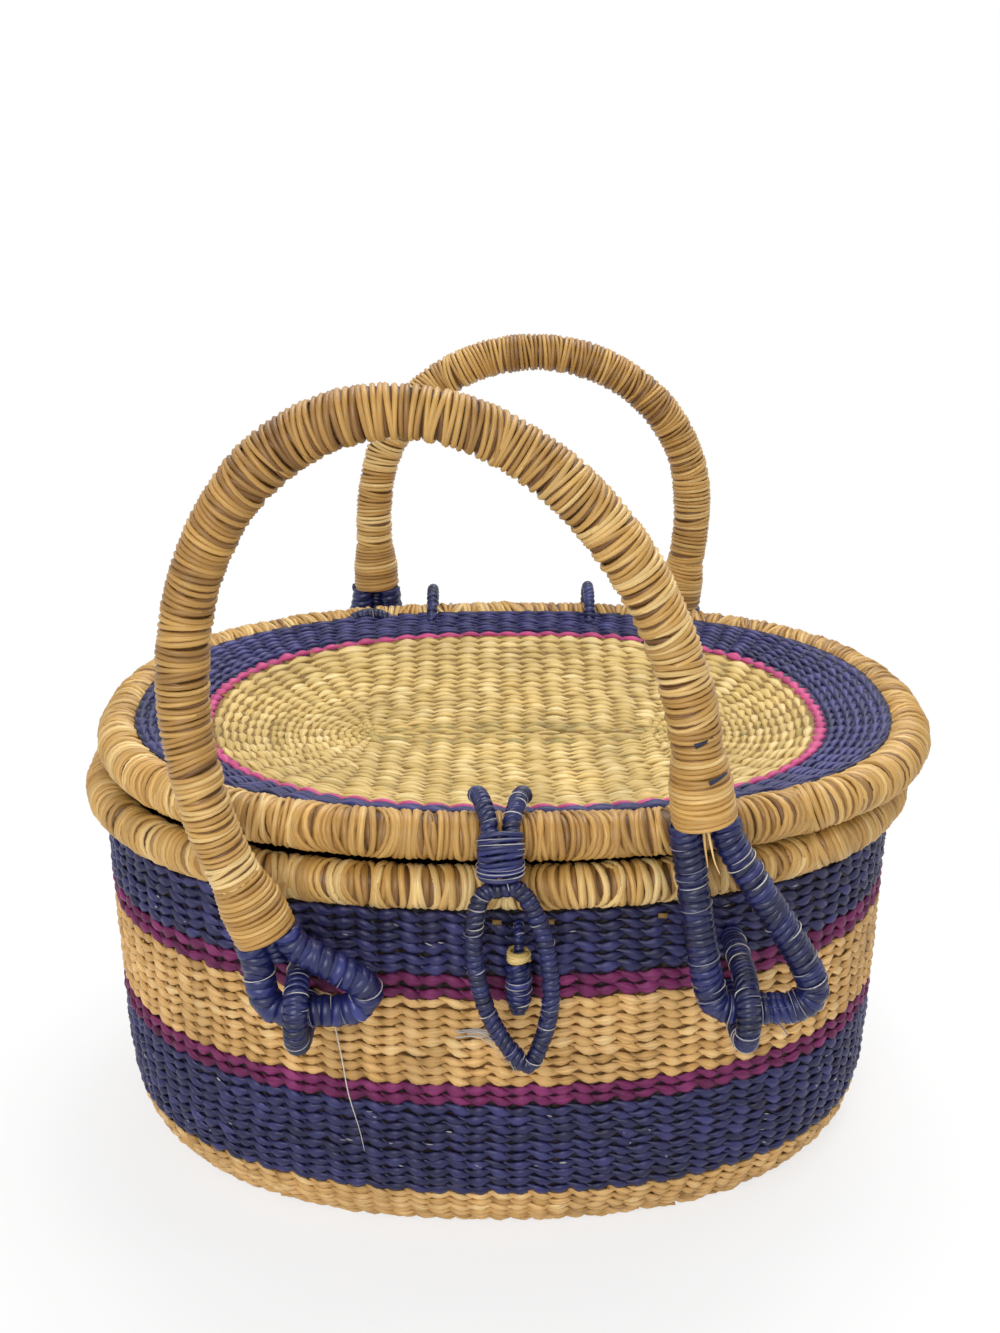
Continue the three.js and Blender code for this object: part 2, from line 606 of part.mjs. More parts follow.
// Ring: two legs out of the cuff, two bends and a bar that lies in the wall loop
function handleRing(end, axial, sideways, bar) {
  const straight = RING_HALF_WIDTH - RING_BEND;
  const leg = (side) => {
    const top = end.clone().addScaledVector(axial, SEAT_GAP);
    top.addScaledVector(sideways, side * RING_LEG_OFFSET);
    const points = [top, top.clone().addScaledVector(axial, RING_RADIUS)];
    for (const turn of [Math.PI / 2, Math.PI / 4, 0]) {
      const across = RING_SHIFT + side * (straight + RING_BEND * Math.sin(turn));
      points.push(bar.clone().add(new THREE.Vector3(across, 0, RING_BEND * (1 - Math.cos(turn)))));
    }
    return points;
  };
  const middle = bar.clone().add(new THREE.Vector3(RING_SHIFT, 0, 0));
  const points = [...leg(-1), middle, ...leg(1).reverse()];
  return strand(new THREE.CatmullRomCurve3(points), RING_RADIUS, STRAND_SIDES, 26);
}

// Wall loop: out of the wall, round the ring's bar and back into the wall
function wallLoop(x, side, axisDepth) {
  const reach = RING_RADIUS + RING_ROOM + WALL_LOOP_RADIUS;
  const outward = (distance, z) => new THREE.Vector3(x, side * distance, z);
  const highRoot = RING_BAR_HEIGHT + reach;
  const lowRoot = RING_BAR_HEIGHT - reach;
  const highSeat = outsideSeat(x, highRoot, WALL_LOOP_RADIUS);
  const lowSeat = outsideSeat(x, lowRoot, WALL_LOOP_RADIUS);
  const points = [outward(highSeat, highRoot), outward(highSeat + WALL_LOOP_RADIUS, highRoot)];
  const ARC_POINTS = 4;
  for (let i = 0; i <= ARC_POINTS; i += 1) {
    const turn = (Math.PI * (ARC_POINTS / 2 - i)) / ARC_POINTS;
    points.push(outward(axisDepth + reach * Math.cos(turn), RING_BAR_HEIGHT + reach * Math.sin(turn)));
  }
  points.push(outward(lowSeat + WALL_LOOP_RADIUS, lowRoot), outward(lowSeat, lowRoot));
  return strand(new THREE.CatmullRomCurve3(points), WALL_LOOP_RADIUS, STRAND_SIDES, 18);
}

function addHandle(label, handle, side, leastStandoff) {
  const outline = handleOutline(handle);
  const standoff = Math.max(handleStandoff(outline), leastStandoff);
  const slope = Math.tan(radians(HANDLE_LEAN));
  const planeDepth = (z) => side * (standoff + slope * (LID_HEIGHT - z));
  const curve = new THREE.CatmullRomCurve3(outline.map(([x, z]) => new THREE.Vector3(x, planeDepth(z), z)));
  const planeNormal = new THREE.Vector3(0, 1, side * slope).normalize();
  const length = curve.getLength();
  addPiece(`${label}_handle_core`, strand(curve, HANDLE_CORE_RADIUS, 8, 24), STRAW_CORE);
  const wrap = { turns: WRAP_TURNS, gap: WINDING_GAP, inner: HANDLE_WRAP_INNER, outer: HANDLE_WRAP_OUTER };
  const cuff = { turns: CUFF_TURNS, gap: CUFF_WINDING_GAP, inner: HANDLE_WRAP_INNER, outer: CUFF_OUTER };
  addWinding(`${label}_handle_wrap`, curve, planeNormal, {
    ...wrap,
    start: CUFF_LENGTH,
    end: length - CUFF_LENGTH,
  });
  addWinding(`${label}_handle_left_cuff`, curve, planeNormal, { ...cuff, start: 0, end: CUFF_LENGTH });
  addWinding(`${label}_handle_right_cuff`, curve, planeNormal, {
    ...cuff,
    start: length - CUFF_LENGTH,
    end: length,
  });
  const axisDepth = Math.abs(planeDepth(RING_BAR_HEIGHT));
  for (const [end, name, share] of [[-1, 'left', 0], [1, 'right', 1]]) {
    const x = FITTINGS_X + end * WALL_LOOP_HALF_SPACING;
    const axial = curve.getTangentAt(share).multiplyScalar(end);
    const sideways = new THREE.Vector3().crossVectors(planeNormal, axial).normalize();
    sideways.multiplyScalar(Math.sign(sideways.x));
    const bar = new THREE.Vector3(x, planeDepth(RING_BAR_HEIGHT), RING_BAR_HEIGHT);
    const ring = handleRing(curve.getPointAt(share), axial, sideways, bar);
    addPiece(`${label}_handle_${name}_ring`, ring, STRAW_BLUE);
    addPiece(`${label}_${name}_wall_loop`, wallLoop(x, side, axisDepth), STRAW_BLUE);
  }
  console.log(`${label} handle axis: y ${planeDepth(RING_BAR_HEIGHT).toFixed(3)}, z ${RING_BAR_HEIGHT}`);
}

const lidSwingReach = Math.max(LID_RIM_HALF_WIDTH - HINGE_OUTSET, LID_RIM_HALF_HEIGHT);
const lidSwingStandoff = HINGE_DEPTH + lidSwingReach + CUFF_OUTER + 2 * RUNNING_GAP;
addHandle('front', FRONT_HANDLE, -1, 0);
addHandle('back', BACK_HANDLE, 1, lidSwingStandoff);

// Clasp: two straps over the lid rim, a binding round them, and a loop that hangs below
function claspStrap(side) {
  const clearWidth = LID_RIM_HALF_WIDTH + STRAP_RADIUS + SEAT_GAP;
  const clearHeight = LID_RIM_HALF_HEIGHT + STRAP_RADIUS + SEAT_GAP;
  const points = [];
  const ARC_POINTS = 5;
  const frontAngle = 40;
  for (let i = 0; i < ARC_POINTS; i += 1) {
    const share = 1 - i / (ARC_POINTS - 1);
    const turn = radians(THREE.MathUtils.lerp(frontAngle, HORN_ANGLE, share));
    const spread = THREE.MathUtils.lerp(STRAP_HALF_SPACING, HORN_HALF_SPACING, share);
    const depth = RIM_HALF_DEPTH + STRAP_STANDOFF * clearWidth * Math.cos(turn);
    const height = LID_HEIGHT + STRAP_STANDOFF * clearHeight * Math.sin(turn);
    points.push(new THREE.Vector3(CLASP_X + side * spread, -depth, height));
  }
  const x = CLASP_X + side * STRAP_HALF_SPACING;
  points.push(new THREE.Vector3(x, -STRAP_DEPTH, LID_HEIGHT));
  points.push(new THREE.Vector3(x, -STRAP_DEPTH, LID_HEIGHT - BINDING_HEIGHT / 2));
  points.push(new THREE.Vector3(x, -STRAP_DEPTH, STRAP_END_HEIGHT));
  return strand(new THREE.CatmullRomCurve3(points), STRAP_RADIUS, STRAND_SIDES, 14);
}

function roundedOblong(halfWidth, halfHeight) {
  const shape = new THREE.Shape();
  const straight = halfWidth - halfHeight;
  const points = [];
  const CORNERS = 5;
  for (const end of [1, -1]) {
    for (let i = 0; i <= CORNERS; i += 1) {
      const turn = Math.PI * (i / CORNERS - 0.5) + (end < 0 ? Math.PI : 0);
      const across = end * straight + halfHeight * Math.cos(turn);
      points.push(new THREE.Vector2(across, halfHeight * Math.sin(turn)));
    }
  }
  return shape.setFromPoints(points);
}

function claspBinding() {
  const innerHalfWidth = STRAP_HALF_SPACING + STRAP_RADIUS + LAYER_GAP;
  const innerHalfHeight = STRAP_RADIUS + LAYER_GAP;
  const shape = roundedOblong(innerHalfWidth + BINDING_THICKNESS, innerHalfHeight + BINDING_THICKNESS);
  shape.holes.push(roundedOblong(innerHalfWidth, innerHalfHeight));
  const geometry = new THREE.ExtrudeGeometry(shape, { depth: BINDING_HEIGHT, bevelEnabled: false });
  return geometry.translate(CLASP_X, -STRAP_DEPTH, LID_HEIGHT - BINDING_HEIGHT);
}

// Closed pointed loop, swept by hand because its ends meet
function claspLoop() {
  const half = [
    [0, 0],
    [CLASP_LOOP_TOP_HALF_WIDTH * 0.6, 0],
    [CLASP_LOOP_TOP_HALF_WIDTH, -CLASP_LOOP_SHOULDER],
    [CLASP_LOOP_HALF_WIDTH * 0.85, -CLASP_LOOP_LENGTH * 0.17],
    [CLASP_LOOP_HALF_WIDTH, -CLASP_LOOP_LENGTH * 0.4],
    [CLASP_LOOP_HALF_WIDTH * 0.86, -CLASP_LOOP_LENGTH * 0.68],
    [CLASP_LOOP_HALF_WIDTH * 0.35, -CLASP_LOOP_LENGTH * 0.92],
  ];
  const outline = [...half, [0, -CLASP_LOOP_LENGTH], ...half.slice(1).reverse().map(([x, z]) => [-x, z])];
  const upright = new THREE.Vector3(0, 1, 0);
  const points = outline.map(([x, z]) => new THREE.Vector3(x, 0, z));
  points.forEach((point) => point.applyAxisAngle(upright, -radians(CLASP_LOOP_TILT)));
  const curve = new THREE.CatmullRomCurve3(points, true);
  const STEPS = 30;
  const corners = [];
  for (let i = 0; i < STEPS; i += 1) {
    const point = curve.getPointAt(i / STEPS);
    const across = new THREE.Vector3().crossVectors(upright, curve.getTangentAt(i / STEPS)).normalize();
    for (let j = 0; j < STRAND_SIDES; j += 1) {
      const turn = (2 * Math.PI * j) / STRAND_SIDES;
      const corner = point.clone().addScaledVector(across, CLASP_LOOP_RADIUS * Math.cos(turn));
      corner.addScaledVector(upright, CLASP_LOOP_RADIUS * Math.sin(turn));
      corners.push([corner.x + CLASP_X, corner.y - STRAP_DEPTH, corner.z + CLASP_AXIS_HEIGHT]);
    }
  }
  return closedBody(corners, sweptTriangles(STEPS, STRAND_SIDES, true));
}

addPiece('clasp_strap_left', claspStrap(-1), STRAW_BLUE);
addPiece('clasp_strap_right', claspStrap(1), STRAW_BLUE);
addPiece('clasp_binding', claspBinding(), STRAW_BLUE);
addPiece('clasp_loop', claspLoop(), STRAW_BLUE);

// Toggle: a cord out of the wall and a wound spindle that swings on its end
function toggleCord() {
  const root = wallDepth(TOGGLE_X, TOGGLE_CORD_HEIGHT) + LAYER_GAP;
  const end = TOGGLE_CORD_HEIGHT - TOGGLE_DROP;
  const points = [
    new THREE.Vector3(TOGGLE_X, -root, TOGGLE_CORD_HEIGHT),
    new THREE.Vector3(TOGGLE_X, -(root + TOGGLE_DEPTH) / 2, TOGGLE_CORD_HEIGHT),
    new THREE.Vector3(TOGGLE_X, -TOGGLE_DEPTH, end + TOGGLE_DROP / 2),
    new THREE.Vector3(TOGGLE_X, -TOGGLE_DEPTH, end),
  ];
  return strand(new THREE.CatmullRomCurve3(points), TOGGLE_CORD_RADIUS, STRAND_SIDES, 6);
}

function lathe(profile) {
  const points = profile.map(([radius, z]) => new THREE.Vector2(radius, z));
  const geometry = new THREE.LatheGeometry(points, 10);
  geometry.rotateX(Math.PI / 2);
  return geometry.translate(TOGGLE_X, -TOGGLE_DEPTH, TOGGLE_AXIS_HEIGHT);
}

const bindingTop = -TOGGLE_NECK_ROOM;
const bindingFoot = bindingTop - TOGGLE_BINDING_LENGTH;
const neckLength = LAYER_GAP - bindingFoot;
addPiece(
  'toggle_body',
  lathe([
    [0, -TOGGLE_LENGTH],
    [TOGGLE_RADIUS * 0.6, -TOGGLE_LENGTH],
    [TOGGLE_RADIUS, -TOGGLE_LENGTH * 0.8],
    [TOGGLE_RADIUS, -neckLength - TOGGLE_NECK_RADIUS],
    [TOGGLE_NECK_RADIUS, -neckLength],
    [TOGGLE_NECK_RADIUS, 0],
    [TOGGLE_NECK_RADIUS * 0.7, TOGGLE_NECK_RADIUS * 0.7],
    [0, TOGGLE_NECK_RADIUS],
  ]),
  STRAW_BLUE,
);
const bindingInner = TOGGLE_NECK_RADIUS + LAYER_GAP;
addPiece(
  'toggle_binding',
  lathe([
    [bindingInner, bindingFoot],
    [TOGGLE_RADIUS, bindingFoot],
    [TOGGLE_RADIUS, bindingTop],
    [bindingInner, bindingTop],
    [bindingInner, bindingFoot],
  ]),
  STRAW_PALE,
);
addPiece('toggle_cord', toggleCord(), STRAW_BLUE);

console.log(`lid hinge: y ${HINGE_DEPTH}, z ${LID_HEIGHT.toFixed(3)}`);
console.log(`clasp axis: y ${-STRAP_DEPTH.toFixed(3)}, z ${CLASP_AXIS_HEIGHT.toFixed(3)}`);
console.log(`toggle axis: y ${-TOGGLE_DEPTH.toFixed(3)}, z ${TOGGLE_AXIS_HEIGHT.toFixed(3)}`);

export default basket;
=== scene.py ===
import json
import math

import bpy
import numpy as np
from mathutils import Matrix, Vector


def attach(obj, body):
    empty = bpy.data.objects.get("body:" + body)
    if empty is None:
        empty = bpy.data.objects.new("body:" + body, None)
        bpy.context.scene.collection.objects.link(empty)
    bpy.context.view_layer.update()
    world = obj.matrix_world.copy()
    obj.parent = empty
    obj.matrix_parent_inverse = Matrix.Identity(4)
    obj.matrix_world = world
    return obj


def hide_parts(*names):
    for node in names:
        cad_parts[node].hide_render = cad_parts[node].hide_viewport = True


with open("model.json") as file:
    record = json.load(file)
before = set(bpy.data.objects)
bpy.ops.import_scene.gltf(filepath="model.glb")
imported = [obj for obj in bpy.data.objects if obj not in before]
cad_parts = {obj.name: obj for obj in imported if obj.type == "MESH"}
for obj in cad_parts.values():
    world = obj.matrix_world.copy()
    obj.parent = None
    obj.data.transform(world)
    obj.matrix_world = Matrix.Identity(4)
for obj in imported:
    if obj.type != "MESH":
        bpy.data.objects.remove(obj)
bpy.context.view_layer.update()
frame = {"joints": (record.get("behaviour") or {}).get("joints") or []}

# Oval lidded basket of twined straw. Sizes are millimetres until a mesh is written.
MILLIMETRE = 0.001
SEED = 20
X_AXIS, Y_AXIS, Z_AXIS = np.eye(3)
ENDS = (("left", -1), ("right", 1))

# Camera, as fitted to the photograph
PHOTO_HEIGHT = 1333
FOCAL_PIXELS = 1545
SENSOR = 36
CAMERA_PLACE = (-5.0, -745.9, 495.4)
CAMERA_PITCH = 19.354
CAMERA_YAW = -0.489
CAMERA_ROLL = -0.024

# Plan and wall
RIM_HALF_LENGTH = 198
RIM_HALF_DEPTH = 152
OVAL_POWER = 2.3
RIM_HEIGHT = 186.5
WALL_FLARE = 2.5
WALL_THICKNESS = 6.5
FOOT_INSET = 17
FOOT_ROUNDING = 14
WALL_FOOT = 2.2
WALL_MIDDLE = 3.1  # the weave's middle lies this far inside the wall's outer face
WALL_WAVE = 1.0
BAND_TOPS = (25, 75, 86, 131, 143, 174.6)
BAND_ROWS = (6, 10, 2, 9, 2, 6)
BAND_NAMES = ("foot_natural", "lower_blue", "lower_purple", "middle_natural", "upper_purple", "upper_blue")
WALL_STAKES = 116
STAKE_TOPS = (RIM_HEIGHT - 9, RIM_HEIGHT - 2)  # above the last row the stakes run on into the rim
NATURAL_STAKE_TONE = 0.8
# painted shade: stakes behind the dyed bands and in the rim are near black, for the shade in the gaps;
# behind natural bands they keep a stake's own brown
DYED_BAND_STAKE_SHADE = 0.1
ROOT_DEPTH = 3  # the ends of loops and cords reach this far into the wall
SEAT_GAP = 0.4

# Rims, as half width, half height, height of the middle and turns of straw
BASKET_RIM = (10.5, 11.5, RIM_HEIGHT, 340)
LID_HEIGHT = 210.6
LID_RIM = (11.5, 12.2, LID_HEIGHT, 380)
RIM_SLACK = 1.0  # the windings lie this much flatter, so that a dark gap shows between the rims
RIM_BUNDLE_INSET = 2.2
RIM_SWELL = (0.02, 24)
RIM_POINTS = 720

# Two layers of windings, as depth below the surface, half width as a share of the pitch, and looks
RIM_LAYERS = (
    # painted shade: the lower layer's low tint darkens the grooves between the turns
    (1.0, 0.62, {"thick": 1.0, "tint": 0.2}),
    (0, 0.51, {"thick": 1.15, "loose": 1.4, "tint": 0.6}),
)
HANDLE_LAYERS = (
    (1.0, 0.62, {"thick": 1.0, "loose": 0.75}),
    (0, 0.5, {"thick": 1.2, "loose": 0.7}),
)
WRAP_STEPS = 16  # points in one turn
BUNDLE_SIDES = 16

# Lid and base, woven round a spine with stakes that fan out at its ends
SPINE = (72, 3)
SPINE_STAKE_PITCH = 12
SPINE_STRANDS = (-4.2, -1.5, 1.5, 4.2)
SPINE_STRAND_SIZE = (1.9, 1.1)
SPINE_STRAND_WAVE = 0.9
SPINE_STRAND_WANDER = (0.5, 14)
SPINE_FLAT = (7, 0.5, 0.1)  # half width, half thickness and tone
SPINE_TONES = (0, 0.3)
INNER_FAN = 5  # stakes in a quarter of the fan
OUTER_FAN = 9
BORDER_FAN = 16
LID_X = 8  # the lid lies a little to the right on the basket
LID_EDGE_HEIGHT = 219.96
LID_DISH = 22
LID_DISH_POWER = 3
LID_MIDDLE = 2.6  # the weave's middle lies this far below the lid's top face
LID_BULGE = 1.5
LID_ROWS = 21
LID_INNER_ROWS = 10
LID_FOLD_SHADE_ROWS = 2  # painted shade: the first rows round the spine are darker, for the shade in the fold along the spine
LID_FOLD_PAINTED_SHADE = 0.2
BORDER_TONE = 0.72
BORDER_STAKE_TONE = 0.3
CENTRE_EDGE = (152.2, 121.2)
ACCENT = (155, 124)
LID_EDGE = (190.04, 144.04)
BASE_MIDDLE = 3.7  # height of the middle of the base's weave
BASE_INSET = 8.5  # the last rows go a little beyond this line inside the wall's foot
THICK_TWINE = {"bulge": 1.6, "thick": 1.5}  # the base and the pink row

# Rows and stakes, as number of rows or points, fan, and first and last share of the way outwards
ACCENT_SHARES = (-0.06, 0.1, 0.26)  # only the middle row is woven
BORDER_SHARES = np.linspace(0.19, 0.9, 7)
BORDER_STAKE_SHARES = np.linspace(0.02, 1.0, 9)
LID_STAKES = ((10, INNER_FAN, 0, 0.5), (12, OUTER_FAN, 0.45, 1.02))
BASE_ROWS = ((10, INNER_FAN, 0.03, 0.44), (13, OUTER_FAN, 0.49, 1.045))
BASE_STAKES = ((12, INNER_FAN, 0, 0.5), (12, OUTER_FAN, 0.45, 1.07))

# Handles, as half width, arch height, x of the middle, end height, tilt in degrees and turns of straw
FRONT_HANDLE = (100, 139, -7, 15, 15.5, 190)
BACK_HANDLE = (97, 93, 20, 31, -3.6, 162)
HANDLE_CORE_RADIUS = 8.8
HANDLE_WRAP_RADIUS = 11.4
HANDLE_SWELL = (0.035, 14)
HANDLE_LEG = 58
HANDLE_END_HALF_SPAN = 94
HANDLE_LEAN = math.radians(1.5)
HANDLE_TONE = 0.6
HANDLE_TOP_PAINTED_SHADE = 0.25  # painted shade: the straw is darker at the top of the arch, to hold down the top lamp's light there
HANDLE_TOP_SHADE_POWER = 6
UNDER_LAYER_PAINTED_SHADE = 0.6  # painted shade: the lower layer is darker, so that the grooves between the turns show dark
HANDLE_POINTS = 560
CUFF_RADIUS = 14
CUFF_LENGTH = 22
CUFF_RUN_OUT = 7  # the cuff's last turns run out onto the handle
CUFF_REACH = CUFF_LENGTH + CUFF_RUN_OUT
CUFF_PLACES = (0, 0.12 * CUFF_LENGTH, 0.75 * CUFF_LENGTH, CUFF_REACH)
CUFF_RADII = (13.2, CUFF_RADIUS, 13.6, HANDLE_WRAP_RADIUS)
CUFF_OVERLAP = 1  # the handle's windings start this far inside the cuffs
CUFF_POINTS = 80
CUFF_LAYERS = (  # depth, turns, half width as a share of the pitch, and looks
    # painted shade: the lower layer's lower tint darkens the grooves between the turns
    (0.8, 12, 0.65, {"steps": 18, "thick": 1.0, "loose": 0.25, "tint": 0.3}),
    (0, 14, 0.52, {"steps": 20, "thick": 1.1, "loose": 0.45}),
)

# Rings and wall loops
FITTINGS_X = 9
RING_RADIUS = 7.2
RING_HALF_WIDTH = 22
RING_BEND = 10
RING_SHIFT = 7
RING_LEG_OFFSET = 8.4
RING_LOOKS = {"left": {"pitch": 4.8, "tint": 0.55}, "right": {"pitch": 3.5, "tint": 0.4}}
RING_WEB_RADIUS = 4.0  # short strands close the gap between a left ring's legs just below the cuff
RING_WEB_LENGTH = 13
RING_WEB_TURNS = 5
RING_ROOM = 0.8
WALL_LOOP_RADIUS = 5.6
WALL_LOOP_HALF_SPACING = 94.5
WALL_LOOP_LOOKS = {"pitch": 2.8, "tint": 0.25}

# Hinges, and the knot beside them on the lid
HINGE_LOOP_RADIUS = 3.5
HINGE_LOOP_LOOKS = {"pitch": 3.2, "pale": 0}
HINGE_HALF_SPACING = 47
HINGE_ROOT_HEIGHT = 162.5
HINGE_TURNING_ROOM = 1.2
LID_KNOT = [(-90, 132, 213), (-84, 134, 217.5), (-75, 135, 219.5), (-66, 135.5, 217.5), (-61, 134, 213)]
LID_KNOT_RADIUS = 3.6
LID_KNOT_TURNS = 11
LID_KNOT_PALE_SHARE = 0.5

# Clasp
STRAP_RADIUS = 4.2
STRAP_HALF_SPACING = 4.6
HORN_HALF_SPACING = 10.5
HORN_ANGLE = 122
STRAP_FRONT_ANGLE = 40
STRAP_STANDOFF = 1.06
STRAP_TAIL = 2.5
BINDING_HEIGHT = 8
BINDING_SHOWN_ABOVE = 8
BINDING_END_ROOM = 0.8
BINDING_HALF_WIDTH = STRAP_HALF_SPACING + STRAP_RADIUS + 1.7
BINDING_FLATNESS = 1 / 0.62
BINDING_TURNS = 9
BINDING_LOOKS = {"width": 1.1, "steps": 24, "thick": 0.8, "loose": 0.6}
BINDING_PALE_SHARE = 1.2
CLASP_LOOKS = {"pitch": 3.0, "tint": 0.3}
CLASP_LOOP_RADIUS = 4.2
CLASP_LOOP_TILT = math.radians(8)
CLASP_LOOP_LENGTH = 86
CLASP_LOOP_HALF_WIDTH = 15.5
CLASP_LOOP_TOP_HALF_WIDTH = 8
CLASP_LOOP_TOP = ((0, 0), (0.6, 0), (1, 2))  # share of the top's half width, and depth
CLASP_LOOP_SIDE = ((0.85, 0.17), (1, 0.4), (0.86, 0.68), (0.35, 0.92))  # shares of half width and length

# Toggle
TOGGLE_RADIUS = 6
TOGGLE_LENGTH = 33
TOGGLE_PITCH = 2.7
TOGGLE_NECK_RADIUS = 2.6
TOGGLE_NECK_ROOM = 1.8
TOGGLE_BINDING_LENGTH = 6
TOGGLE_BINDING_RADIUS = TOGGLE_RADIUS - 0.4
TOGGLE_BINDING_ROOM = 0.5
TOGGLE_BINDING_TURNS = 4
TOGGLE_BINDING_LOOKS = {"width": 1.0, "thick": 1.1, "loose": 0.6}
NECK_END = TOGGLE_NECK_ROOM + TOGGLE_BINDING_LENGTH
TOGGLE_PLACES = (-TOGGLE_NECK_RADIUS, 0, NECK_END, NECK_END + 3, 0.8 * TOGGLE_LENGTH, TOGGLE_LENGTH)
TOGGLE_RADII = (1.4, TOGGLE_NECK_RADIUS, 3.0, TOGGLE_RADIUS, TOGGLE_RADIUS, 0.55 * TOGGLE_RADIUS)
TOGGLE_CORD_RADIUS = 2.4
TOGGLE_CORD_PITCH = 2.4
TOGGLE_DROP = 4

# Weaving. Each unevenness is an amount and the number of knots in its noise.
STEPS_PER_STAKE = 5
STRAND_HALF_WIDTH = 0.56  # as a share of the row pitch
ROW_START = 0.25
ROW_DRIFT = (0.4, 40)
ROW_SAG = (0.1, 30)
STRAND_LIFT = (0.35, 60)
STRAND_WIDTH = (0.22, 50)
SLOW_TONE = (0.2, 9)
QUICK_TONE = (0.24, 70)
CREST_PAINTED_LIGHT_AND_SHADE = 0.5  # painted highlight and shade: strands are lighter on their crests and darker where they dip
MEAN_FULLNESS = 0.75
STAKE_HALF_WIDTH = 0.64  # as a share of the stakes' spacing
STAKE_HALF_THICK = 0.6
STAKE_TONE_SPREAD = 0.15

# Winding
TURN_WANDER = 0.3  # in turns
TURN_SLANT = 1.3
SLANT_PHASE = 0.6
SLACK_DEPTH = 0.8
SLACK_WIDTH = 0.25
TURN_TONE = 0.3
WINDING_TONE = (0.2, 7)
WOUND_BUNDLE_INSET = 0.9
WOUND_HALF_WIDTH = 0.54  # as a share of the pitch
WOUND_LOOKS = {"steps": 12, "loose": 0.4}
DETAIL_HALF_WIDTH = 0.58
DETAIL_LOOKS = {"thick": 0.8, "tint": 0.3, **WOUND_LOOKS}
PALE_LINE_TURNS = (0.2, 0.75)
PALE_LINE_DEPTH = 0.2
PALE_LINE_SIZE = (0.26, 0.25)
PALE_LINE_POINTS = 14
BLUNTNESS = 0.15

# Nicks in the blue bands, as lowest and greatest height and number
NICKS = ((30, 72, 80), (147, 172, 46))
NICK_POINTS = 8
NICK_LINE_POINTS = 1440
NICK_LENGTHS = (0.15, 0.7)
NICK_RISES = (-0.8, 0.2)
NICK_DEPTH = 0.7
NICK_SIZE = (0.3, 0.4)
NICK_BLUNTNESS = 0.2

# Loose bits that stand out of the weave. A fibre is its points, half width and half thickness, and tone.
LONG_FIBRE = (
    [(-74, -150, 121), (-70.5, -154, 103), (-68, -155, 85), (-63.5, -154, 64), (-62, -152, 52)],
    (0.38, 0.3),
    1,
)
TUFT = [(-17, -156, 116), (-8, -157, 117), (0, -157.5, 112), (6, -157.5, 103), (9, -157, 96)]
TUFT_FIBRES = 7
TUFT_SPREAD = (3, 0.4, 2)
TUFT_FIBRE_SIZE = (0.32, 0.2)
STAKE_BITS = ((-1.3, 170.6), (21.5, 170.5), (71, 170))
STAKE_BIT_HALF_LENGTH = 2
STAKE_BIT_SIZE = (1.3, 0.6)
STAKE_BIT_DEPTH = 0.3
STAKE_BIT_TONE = 0.15
CUFF_FIBRES = (
    ([(84, -176.5, 226), (85.5, -178, 219), (87.5, -178, 211), (90, -177, 205)], (0.7, 0.5), 0.9),
    ([(82.5, -176, 226), (83.5, -177, 217), (85, -177, 208)], (0.8, 0.5), 0.6),
)
HANDLE_FIBRES = (  # two out of the right ring, and two slivers on the handle's right leg
    ([(112, -180.5, 144.5), (118, -184, 146), (124, -186, 150), (127, -186, 155)], (0.35, 0.3), 1),
    ([(112, -180.5, 142), (117, -185, 139), (121, -187, 134)], (0.35, 0.3), 1),
    ([(82.5, -186.2, 249.4), (86.25, -185.1, 251), (90, -182.6, 252.6)], (1.2, 0.5), 0.1),
    ([(76.5, -183.2, 264), (80.25, -182.4, 265.3), (84, -180.2, 266.6)], (1.2, 0.5), 0.1),
)

# Straw's surface
STRAND_MAP_UNIT = 10  # millimetres of strand in one unit of its map
FIBRE_SCALE = (13, 0.5, 1)
FIBRE_DETAIL = 4
FIBRE_LEVELS = (0.72, 1.2)
FIBRE_BUMP = 0.35
FIBRE_HEIGHT = 0.0004  # metres
BLOTCH_SCALE = 24
BLOTCH_DETAIL = 3
NOISE_MIDDLE = (0.3, 0.7)

# Stage, in metres
FLOOR_HALF_SIZE = 6.0
FLOOR_COLOUR = (0.93, 0.93, 0.93, 1)
WHITE = (1, 1, 1, 1)
FLOOR_FADE = (0.2, 0.45)
FLOOR_LEAST_WHITE = 0.7
WORLD_LIGHT = 0.5
LAMP_TARGET = (0, 0, 0.15)
LAMPS = {"key": ((-0.35, -1.5, 1.0), 1.2, 16), "top": ((0.3, 0.6, 1.8), 1.6, 26)}  # place, size and power


def joint_place(name):
    """A joint's place in millimetres."""
    joint = next(joint for joint in frame["joints"] if joint["name"] == name)
    return np.array(joint["pos_m"]) / MILLIMETRE


def unit(vectors):
    return vectors / np.linalg.norm(vectors, axis=-1, keepdims=True)


def oval_points(half_length, half_depth, height, samples=4001):
    """Points once round an oval between an ellipse and a rounded rectangle, from the middle of its front."""
    turn = np.linspace(-np.pi / 2, 1.5 * np.pi, samples)
    power = 2 / OVAL_POWER
    c, s = np.cos(turn), np.sin(turn)
    x = half_length * np.sign(c) * np.abs(c) ** power
    y = half_depth * np.sign(s) * np.abs(s) ** power
    return np.stack([x, y, np.full_like(x, height)], axis=1)


def oval_depth(half_length, half_depth, x):
    return half_depth * (1 - (abs(x) / half_length) ** OVAL_POWER) ** (1 / OVAL_POWER)


def wall_offset(z):
    """How far the wall's outer face stands outside the rims' centre line."""
    return WALL_FLARE * z / RIM_HEIGHT - FOOT_INSET * np.exp(-z / FOOT_ROUNDING)


def wall_depth(x, z, inset=0):
    offset = wall_offset(z) - inset
    return oval_depth(RIM_HALF_LENGTH + offset, RIM_HALF_DEPTH + offset, x)


